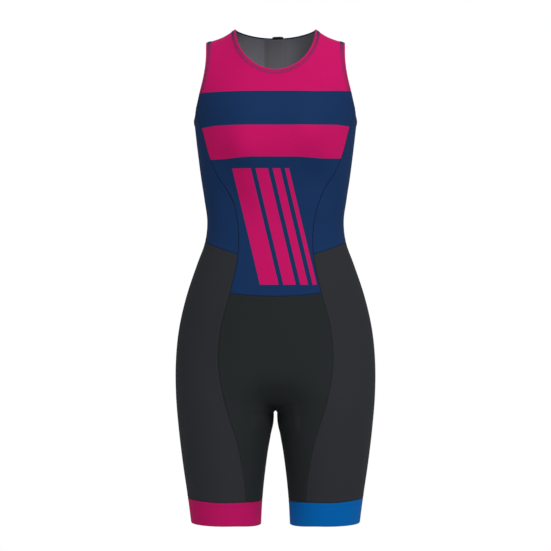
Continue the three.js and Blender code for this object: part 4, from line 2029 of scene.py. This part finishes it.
    def ladder(
        self,
        name: str,
        nodes: Sequence[str],
        material: Material,
    ) -> Object:
        """Short flat-seam stitches across the seams of some panels.

        Args:
            name: the piece's name.
            nodes: CAD nodes of the panels whose seams are stitched.
            material: the thread's finish.

        Returns:
            The thread's object.
        """
        tree = self.everywhere()
        radius = self.ladder_radius
        runs = []
        for panel in self.panels:
            if panel.node not in nodes:
                continue
            for edge in panel.plan.edges:
                if edge.kind is not EdgeKind.SEAM:
                    continue
                for side in self.sides(panel):
                    steps = panel.edge_frames(edge, self.ladder_pitch, side)
                    for at, inward in steps:
                        reach = inward * self.ladder_half * MM
                        ends = (at + reach, at, at - reach)
                        runs.append([self.settle(end, tree, radius) for end in ends])
        return self.tubes(name, runs, radius, material)


@dataclass
class BackZip:
    """Centre-back zip: tape, coil, inner guard and the garage over its top."""

    gap: float = 0.3
    end_margin: float = 1.5
    strip_long: float = 460
    strip_cells: tuple[int, int] = (14, 150)
    tape_half: float = 11
    tape_thick: float = 0.8
    coil_half: float = 2.3
    coil_pitch: float = 1.5
    coil_radius: float = 0.5
    coil_depths: tuple[float, float, float] = (1.3, 0.8, 1.3)
    coil_margin: float = 1
    slider_gap_from: float = -23.5
    slider_gap_to: float = -34.5
    guard_half: float = 20
    guard_thick: float = 0.6
    guard_thinning: float = 0.85
    guard_top: float = 0.3
    guard_ridge: float = 1.5
    guard_clear: float = 0.05
    guard_bend: float = 0.5
    garage_half: float = 9.8
    garage_long: float = 21
    garage_cells: tuple[int, int] = (16, 36)
    garage_wall: float = 0.6
    garage_fold: float = 0.7
    garage_bend: float = 0.3
    garage_proud: float = 3.9
    garage_flatten: float = 0.75
    garage_crown: float = 0.7
    garage_drop: float = 10
    garage_inside: float = 0.26
    garage_shift: float = 4.1
    garage_half_cut: float = 20

    def on_back(self, x: Array, z: Array, depth: Array) -> Array:
        """Points below the outer face of the back.

        Args:
            x: distances from the centre plane.
            z: levels.
            depth: depth of each.

        Returns:
            The points.
        """
        at = FORM.point(FORM.angle_at(np.abs(x), z, True), z)
        inward = FORM.outward(at) * np.reshape(depth, (-1, 1))
        placed = at - inward
        placed[:, 0] *= np.where(x < 0, -1, 1)
        return placed

    def levels(self) -> tuple[float, float]:
        """Top and bottom of the strips."""
        top = -FORM.neck_back_drop - self.end_margin
        return top, FORM.waist_centre_z + self.end_margin

    def strip(
        self,
        node: str,
        half: float,
        thick: Callable[[Array], Array],
        depth: Callable[[Array], Array],
        material: Material,
        below_neck: float,
    ) -> Object:
        """A narrow strip down the centre back.

        Args:
            node: the CAD node that it stands for.
            half: half of its width.
            thick: its thickness over its width.
            depth: depth of its outer face over its width.
            material: its finish.
            below_neck: distance of its top from the neck edge.

        Returns:
            The strip's object.
        """
        top, low = -FORM.neck_back_drop - below_neck, self.levels()[1]
        bm = bmesh.new()
        columns, rows = self.strip_cells
        bmesh.ops.create_grid(bm, x_segments=columns, y_segments=rows, size=0.5)
        flat = np.array([v.co[:2] for v in bm.verts])
        x = flat[:, 0] * 2 * half
        z = blend(low, top, flat[:, 1] + 0.5)
        placed = self.on_back(x, z, depth(x)) * MM
        inside = self.on_back(x, z, depth(x) + thick(x)) * MM
        lay_cut(bm, x * MM, z * MM)
        place_points(bm, placed)
        bmesh.ops.recalc_face_normals(bm, faces=bm.faces[:])
        if sum(f.normal.y for f in bm.faces) < 0:
            bmesh.ops.reverse_faces(bm, faces=bm.faces[:])
        thicken(bm, inside, 0, crisp=True)
        return attach(cloth_mesh(bm, f"{node}_cloth", (material,)), node)

    def tape(self, material: Material) -> Object:
        """The woven tape under the edges of the back halves.

        Args:
            material: its finish.

        Returns:
            The tape.
        """
        return self.strip(
            "zip_tape",
            self.tape_half,
            lambda x: np.full_like(x, self.tape_thick),
            lambda x: np.full_like(x, WALL + self.gap),
            material,
            self.end_margin,
        )

    def guard(self, material: Material) -> Object:
        """The soft guard behind the zip, a shallow fold along its middle.

        Args:
            material: its finish.

        Returns:
            The guard.
        """

        def thick(x: Array) -> Array:
            """Thickness over the width."""
            out = smoothstep(self.tape_half, self.guard_half, np.abs(x))
            return self.guard_thick * (1 - self.guard_thinning * out)

        def depth(x: Array) -> Array:
            """Depth of the outer face over the width.

            Args:
                x: distances from the centre plane.

            Returns:
                The depth at each.
            """
            ridge = self.guard_ridge * (1 - np.abs(x) / self.guard_half)
            bend = self.tape_half - self.guard_bend
            return blend(
                WALL + self.gap + self.tape_thick + ridge,
                WALL + self.guard_clear,
                smoothstep(bend, self.guard_half, np.abs(x)),
            )

        return self.strip(
            "zip_guard",
            self.guard_half,
            thick,
            depth,
            material,
            self.guard_top,
        )

    def coil(self, sewing: Sewing, material: Material) -> Object:
        """The closed coil as a run of small cross bars.

        Args:
            sewing: lays its bars.
            material: its finish.

        Returns:
            The coil.
        """
        top, low = self.levels()
        runs = []
        x = np.array([-self.coil_half, 0.0, self.coil_half])
        depth = np.array(self.coil_depths)
        margin = self.coil_margin
        for z in np.arange(low + margin, top - margin, self.coil_pitch):
            if self.slider_gap_to < z < self.slider_gap_from:
                continue
            placed = self.on_back(x, np.full_like(x, z), depth)
            runs.append([Vector(p) * MM for p in placed])
        return sewing.tubes("zip_coil", runs, self.coil_radius, material)

    def garage(self, material: Material) -> Object:
        """The tab folded over the back neck edge.

        Args:
            material: its finish.

        Returns:
            The tab.
        """
        far_in = WALL + self.gap + self.tape_thick + self.garage_fold
        far_out = -self.gap - self.garage_wall
        middle, reach = (far_in + far_out) / 2, (far_in - far_out) / 2
        bm = bmesh.new()
        columns, rows = self.garage_cells
        bmesh.ops.create_grid(bm, x_segments=columns, y_segments=rows, size=0.5)
        flat = np.array([v.co[:2] for v in bm.verts])
        centre_x = flat[:, 0] * 2 * self.garage_half
        x = centre_x + self.garage_shift
        run = flat[:, 1] * 2 * np.where(flat[:, 1] > 0, self.garage_inside, 1)
        turn = np.clip(run / self.garage_bend, -1, 1)
        depth = middle + reach * np.sin(turn * math.pi / 2)
        flatter = self.garage_flatten * (centre_x / self.garage_half) ** 4
        arch = self.garage_proud * np.sqrt(1 - flatter)
        down = (np.abs(run) - self.garage_bend) / (1 - self.garage_bend)
        rise = np.where(
            down < 0,
            arch * np.cos(turn * math.pi / 2) ** self.garage_crown,
            -self.garage_drop * down,
        )
        edge = FORM.neck_edge_z(x, True)
        base = self.on_back(x, edge + np.minimum(0, rise), depth)
        edge_at = FORM.point(FORM.angle_at(np.abs(x), edge, True), edge)
        normal = FORM.outward(edge_at)
        up = np.array((0, 0, 1)) - normal * normal[:, 2:]
        up /= np.linalg.norm(up, axis=-1, keepdims=True)
        up[:, 0] *= np.where(x < 0, -1, 1)
        lay_cut(bm, x * MM, run * self.garage_half_cut * MM)
        place_points(bm, (base + up * np.maximum(0, rise)[:, None]) * MM)
        for face in bm.faces:
            face.smooth = True
        bmesh.ops.recalc_face_normals(bm, faces=bm.faces[:])
        bm.normal_update()
        crown = max(bm.faces, key=lambda f: f.calc_center_median().z)
        if crown.normal.z < 0:
            bmesh.ops.reverse_faces(bm, faces=bm.faces[:])
        mesh = cloth_mesh(bm, "zip_garage_cloth", (material,))
        made = attach(mesh, "zip_garage")
        fold = made.modifiers.new("garage_wall", "SOLIDIFY")
        fold.thickness = self.garage_wall * MM
        fold.offset = -1
        return made

    def build(
        self,
        sewing: Sewing,
        tape: Material,
        guard: Material,
        coil: Material,
        garage: Material,
    ) -> None:
        """Makes the zip's pieces.

        Args:
            sewing: lays the coil.
            tape: finish of the woven tape.
            guard: finish of the guard.
            coil: finish of the coil.
            garage: finish of the tab at the top.
        """
        strips = (self.tape(tape), self.guard(guard))
        teeth = self.coil(sewing, coil)
        self.garage(garage)


@dataclass
class SeatPad:
    """The padded insert sewn inside the crotch."""

    steps: int = 3
    front_row: int = 7
    back_row: int = 5
    leg_rows: int = 2
    columns: int = 15
    row_split: int = 8
    weld: float = 2e-5
    clear: float = 1.95
    thick: float = 6.0
    fill: float = 0.5
    rim_share: float = 0.25
    side_slope: float = 0.35
    end_slope: float = 1.2
    channel_depth: float = 0.45
    channel_width: float = 0.07
    channels: tuple[float, ...] = (0.0, 0.5)
    cut_half: float = 40
    cut_row: float = 15

    def loft(self, share: float, down: float) -> float:
        """Share of the full thickness at a place on the pad.

        Args:
            share: 0 at the centre line and 1 at the pad's side.
            down: rows from the pad's end.

        Returns:
            1 where the foam is full, less at the edge and in the channels.
        """
        full = min(1.0, (1 - share) / self.side_slope)
        full *= min(1.0, down / self.end_slope)
        for channel in self.channels:
            near = math.exp(-(((share - channel) / self.channel_width) ** 2))
            full *= 1 - self.channel_depth * near
        return full

    def build(self, material: Material) -> Object:
        """Makes the pad from the shorts' own rows, moved in.

        Args:
            material: the pad's finish.

        Returns:
            The pad's object.
        """
        bm = bmesh.new()
        loft = bm.verts.layers.float.new("loft")
        shares: list[float] = []
        downs: list[float] = []
        last_row = PLANS.seat_rows + self.leg_rows
        for back, first in ((False, self.front_row), (True, self.back_row)):
            sample = PLANS.shorts_sample(back, 0.0)
            rows = self.row_split * (last_row - first)
            made = bmesh.ops.create_grid(
                bm, x_segments=self.columns, y_segments=rows, size=0.5
            )["verts"]
            flat = np.array([v.co[:2] for v in made]) + 0.5
            column = flat[:, 0] * self.steps
            row = blend(float(last_row), float(first), flat[:, 1])
            placed = FORM.point(*sample(column, row))
            for vert, point in zip(made, placed):
                vert.co = point * MM
            shares.extend(flat[:, 0])
            downs.extend(row - first)
        across, down = np.array(shares), np.array(downs)
        lay_cut(bm, across * self.cut_half * MM, down * self.cut_row * MM)
        for face in bm.faces:
            face.smooth = True
        for vert, share, row in zip(bm.verts, shares, downs):
            vert[loft] = self.loft(share, row)
        mirror_weld(bm, self.weld)
        turn_outward(bm)
        place_points(bm, [v.co - v.normal * self.clear * MM for v in bm.verts])
        weights = [v[loft] for v in bm.verts]
        pad = attach(cloth_mesh(bm, "seat_pad", (material,)), "chamois_pad")
        group = pad.vertex_groups.new(name="loft")
        for index, weight in enumerate(weights):
            group.add([index], weight, "REPLACE")
        foam = pad.modifiers.new("pad_foam", "SOLIDIFY")
        foam.thickness = self.thick * MM
        foam.offset = -1
        foam.vertex_group = group.name
        foam.thickness_vertex_group = self.rim_share
        return pad


@dataclass(frozen=True)
class SoftLight:
    """A square light: its name, place and side in metres, and its power in watts."""

    name: str
    at: tuple[float, float, float]
    size: float
    power: float
    shadows: bool = True


@dataclass(frozen=True)
class Studio:
    """Pale floor, soft light and the camera at the photograph's angle."""

    camera_away: float = 3500
    eye_z: float = -431.4
    frame_width: float = 964.3
    view_end: float = 100
    floor_z: float = -1420
    floor_radius: float = 2600
    floor_sides: int = 128
    floor_color: tuple[float, float, float] = (238, 238, 238)
    floor_roughness: float = 0.9
    white: tuple[float, float, float, float] = (1, 1, 1, 1)
    soft_strength: float = 0.397
    seen_strength: float = 1.0
    lights: tuple[SoftLight, ...] = (
        SoftLight("key", (1.13, -2.35, 1.95), 1.5, 74),
        SoftLight("back", (0.0, 3.3, 1.2), 1.5, 16),
        SoftLight("fill", (-2.6, -1.6, -0.2), 1.5, 5, shadows=False),
    )

    def floor(self) -> Object:
        """A plain pale disc at the level of the wearer's feet.

        Returns:
            The floor.
        """
        bm = bmesh.new()
        radius = self.floor_radius * MM
        bmesh.ops.create_circle(
            bm, cap_ends=True, segments=self.floor_sides, radius=radius
        )
        bmesh.ops.translate(bm, verts=bm.verts[:], vec=(0, 0, self.floor_z * MM))
        mesh = bpy.data.meshes.new("floor")
        bm.to_mesh(mesh)
        bm.free()
        material, shader, _ = new_material("pale_floor")
        pale = linear(*self.floor_color)
        constants(shader, {"Base Color": pale, "Roughness": self.floor_roughness})
        mesh.materials.append(material)
        made = bpy.data.objects.new("floor", mesh)
        bpy.context.scene.collection.objects.link(made)
        return made

    def camera(self) -> Object:
        """A long lens straight in front, level with the middle of the suit.

        Returns:
            The camera.
        """
        data = bpy.data.cameras.new("photo_camera")
        data.lens = data.sensor_width * self.camera_away / self.frame_width
        data.clip_end = self.view_end
        made = bpy.data.objects.new("photo_camera", data)
        made.location = (0, -self.camera_away * MM, self.eye_z * MM)
        made.rotation_euler = (math.pi / 2, 0, 0)
        bpy.context.scene.collection.objects.link(made)
        bpy.context.scene.camera = made
        return made

    def light(self, soft: SoftLight) -> None:
        """Adds a light, turned to the middle of the suit.

        Args:
            soft: the light.
        """
        data = bpy.data.lights.new(soft.name, "AREA")
        data.use_shadow = soft.shadows
        data.shape = "SQUARE"
        data.size = soft.size
        data.energy = soft.power
        made = bpy.data.objects.new(soft.name, data)
        made.location = soft.at
        aim = Vector((0, 0, self.eye_z * MM)) - Vector(soft.at)
        made.rotation_euler = aim.to_track_quat("-Z", "Y").to_euler()
        bpy.context.scene.collection.objects.link(made)

    def world(self) -> None:
        """Even pale surroundings, white where the camera looks past the suit."""
        world = bpy.data.worlds.new("studio")
        world.use_nodes = True
        bpy.context.scene.world = world
        w = Wiring(world.node_tree)
        out = world.node_tree.nodes["World Output"]
        soft = world.node_tree.nodes["Background"]
        constants(soft, {"Color": self.white, "Strength": self.soft_strength})
        seen = w.node("ShaderNodeBackground")
        constants(seen, {"Color": self.white, "Strength": self.seen_strength})
        path = w.node("ShaderNodeLightPath")
        mix = w.node("ShaderNodeMixShader")
        w.feed(mix.inputs["Fac"], path.outputs["Is Camera Ray"])
        w.feed(mix.inputs[1], soft.outputs[0])
        w.feed(mix.inputs[2], seen.outputs[0])
        w.feed(out.inputs["Surface"], mix.outputs[0])

    def build(self) -> None:
        """Builds the whole studio."""
        bpy.context.scene.view_settings.view_transform = "Standard"
        self.camera()
        self.floor()
        for soft in self.lights:
            self.light(soft)
        self.world()


@dataclass
class Suit:
    """All panels of the suit with their cuts and finishes."""

    groups: ShaderGroups
    panels: list[ClothPanel] = field(default_factory=list)
    cloths: dict[str, Material] = field(default_factory=dict)

    navy: KnitFinish = KnitFinish("navy_jersey", (23, 51, 93))
    navy_side: KnitFinish = KnitFinish("navy_side_jersey", (23, 51, 93))
    printed: KnitFinish = PrintedKnitFinish("printed_front_knit", (23, 51, 93))
    black: KnitFinish = KnitFinish("black_jersey", (39, 43, 44), seam_dark=0.1)
    charcoal: KnitFinish = KnitFinish("charcoal_jersey", (47, 49, 53), seam_dark=0.1)
    lining: KnitFinish = KnitFinish("grey_inside_knit", (130, 129, 137), mottle=0.16)
    magenta: KnitFinish = KnitFinish("magenta_band_knit", (190, 20, 97), gauge=500)
    blue: KnitFinish = KnitFinish("blue_band_knit", (0, 98, 175), gauge=500)

    front_top: Cut = Cut((0.27, 0.44), 0.0855, "navy_knit")
    back_top: Cut = Cut((0.145, 0.47), 0.044, "navy_knit")
    side_top: Cut = Cut((0.19, 0.225), 0.031, "navy_side_knit")
    side_leg: Cut = Cut((0.29, 0.435), 0.106, "charcoal_knit")
    right_band: Cut = Cut((0.37, 0.04), 0.0148, "magenta_band")
    left_band: Cut = Cut((0.37, 0.04), 0.0148, "blue_band")
    shorts_front: Cut = Cut((0.27, 0.37), 0.0625, "black_knit")
    shorts_back: Cut = Cut((0.275, 0.38), 0.064, "black_knit")

    def cloth(self, finish: KnitFinish) -> Material:
        """The material of a finish, made once.

        Args:
            finish: the finish.

        Returns:
            The material.
        """
        if finish.name not in self.cloths:
            self.cloths[finish.name] = finish.build(self.groups)
        return self.cloths[finish.name]

    def panel(
        self,
        node: str,
        plan: PanelPlan,
        side: int,
        finish: KnitFinish,
        cut: Cut,
        relief: PadRelief | None = None,
        creases: tuple[Crease, ...] = (),
    ) -> None:
        """Builds one panel and keeps it.

        Args:
            node: the CAD node that it stands for.
            plan: how it lies on the form.
            side: 1 for the wearer's left, -1 for the right.
            finish: its outside.
            cut: its flat cut.
            relief: the pad that shows through it, if any.
            creases: the hollows and fullness worked into it.
        """
        materials = (self.cloth(finish), self.cloth(self.lining))
        made = ClothPanel(
            node, plan, side, materials, cut, relief=relief, creases=creases
        )
        made.build()
        self.panels.append(made)

    def build(self) -> None:
        """Builds every cut panel."""
        top, side_top, side_leg = PLANS.top(True), PLANS.side_top(), PLANS.side_leg()
        self.panel(
            "front_top",
            PLANS.top(False),
            1,
            self.printed,
            self.front_top,
            creases=BUST_SHAPE,
        )
        for label, side, band, band_cut in (
            ("right", -1, self.magenta, self.right_band),
            ("left", 1, self.blue, self.left_band),
        ):
            self.panel(f"back_top_{label}", top, side, self.navy, self.back_top)
            self.panel(
                f"side_top_{label}",
                side_top,
                side,
                self.navy_side,
                self.side_top,
                creases=BUST_SHAPE,
            )
            self.panel(
                f"side_leg_{label}", side_leg, side, self.charcoal, self.side_leg
            )
            self.panel(f"leg_band_{label}", PLANS.band(), side, band, band_cut)
        pad = PadRelief()
        self.panel(
            "shorts_front",
            PLANS.shorts(False),
            1,
            self.black,
            self.shorts_front,
            pad,
            FRONT_FULLNESS,
        )
        self.panel(
            "shorts_back", PLANS.shorts(True), 1, self.black, self.shorts_back, pad
        )


def dress_metal(groups: ShaderGroups, nodes: dict[str, Object]) -> None:
    """Gives the slider and the pull tab their dark coated metal.

    Args:
        groups: the shared node groups.
        nodes: the frame's objects by CAD node.
    """
    metal = PlainFinish(
        "dark_coated_metal", (30, 31, 34), 0.38, 0.75, grain_height=0.04
    ).build(groups)
    for name in ("zip_slider", "zip_pull_tab"):
        mesh = nodes[name].data
        mesh.materials.clear()
        mesh.materials.append(metal)
        LOG.info("%s: %d faces", name, len(mesh.polygons))


def main() -> None:
    """Builds the suit and its studio, in order."""
    logging.basicConfig(level=logging.INFO, format="%(name)s %(message)s")
    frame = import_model()
    groups = ShaderGroups()
    suit = Suit(groups)
    suit.build()
    navy_thread = PlainFinish("navy_thread", (30, 52, 98), 0.6).build(groups)
    dark_thread = PlainFinish("dark_thread", (20, 32, 54), 0.7).build(groups)
    leg_thread = PlainFinish("leg_thread", (40, 42, 44), 0.7).build(groups)
    sewing = Sewing(suit.panels)
    cover = sewing.coverstitch(navy_thread)
    top_nodes = ("front_top", "back_top_right", "back_top_left")
    leg_nodes = ("side_leg_right", "side_leg_left", "shorts_back")
    top_seams = sewing.ladder("top_seam_stitches", top_nodes, dark_thread)
    leg_seams = sewing.ladder("leg_seam_stitches", leg_nodes, leg_thread)
    black_tape = KnitFinish("black_zip_tape", (24, 25, 29), gauge=700).build(groups)
    black_trim = KnitFinish("black_garage_knit", (34, 35, 36), gauge=900).build(groups)
    guard_knit = KnitFinish("grey_guard_knit", (121, 120, 127)).build(groups)
    coil_finish = PlainFinish("black_coil", (20, 21, 24), 0.4).build(groups)
    BackZip().build(sewing, black_tape, guard_knit, coil_finish, black_trim)
    pad_finish = KnitFinish("pad_cover_knit", (58, 61, 68), gauge=700).build(groups)
    SeatPad().build(pad_finish)
    dress_metal(groups, frame["nodes"])
    threads = {"front_top": (cover, top_seams), "shorts_front": (leg_seams,)}
    for panel in suit.panels:
        panel.declare(threads.get(panel.node, ()))
    Studio().build()


if __name__ == "__main__":
    main()
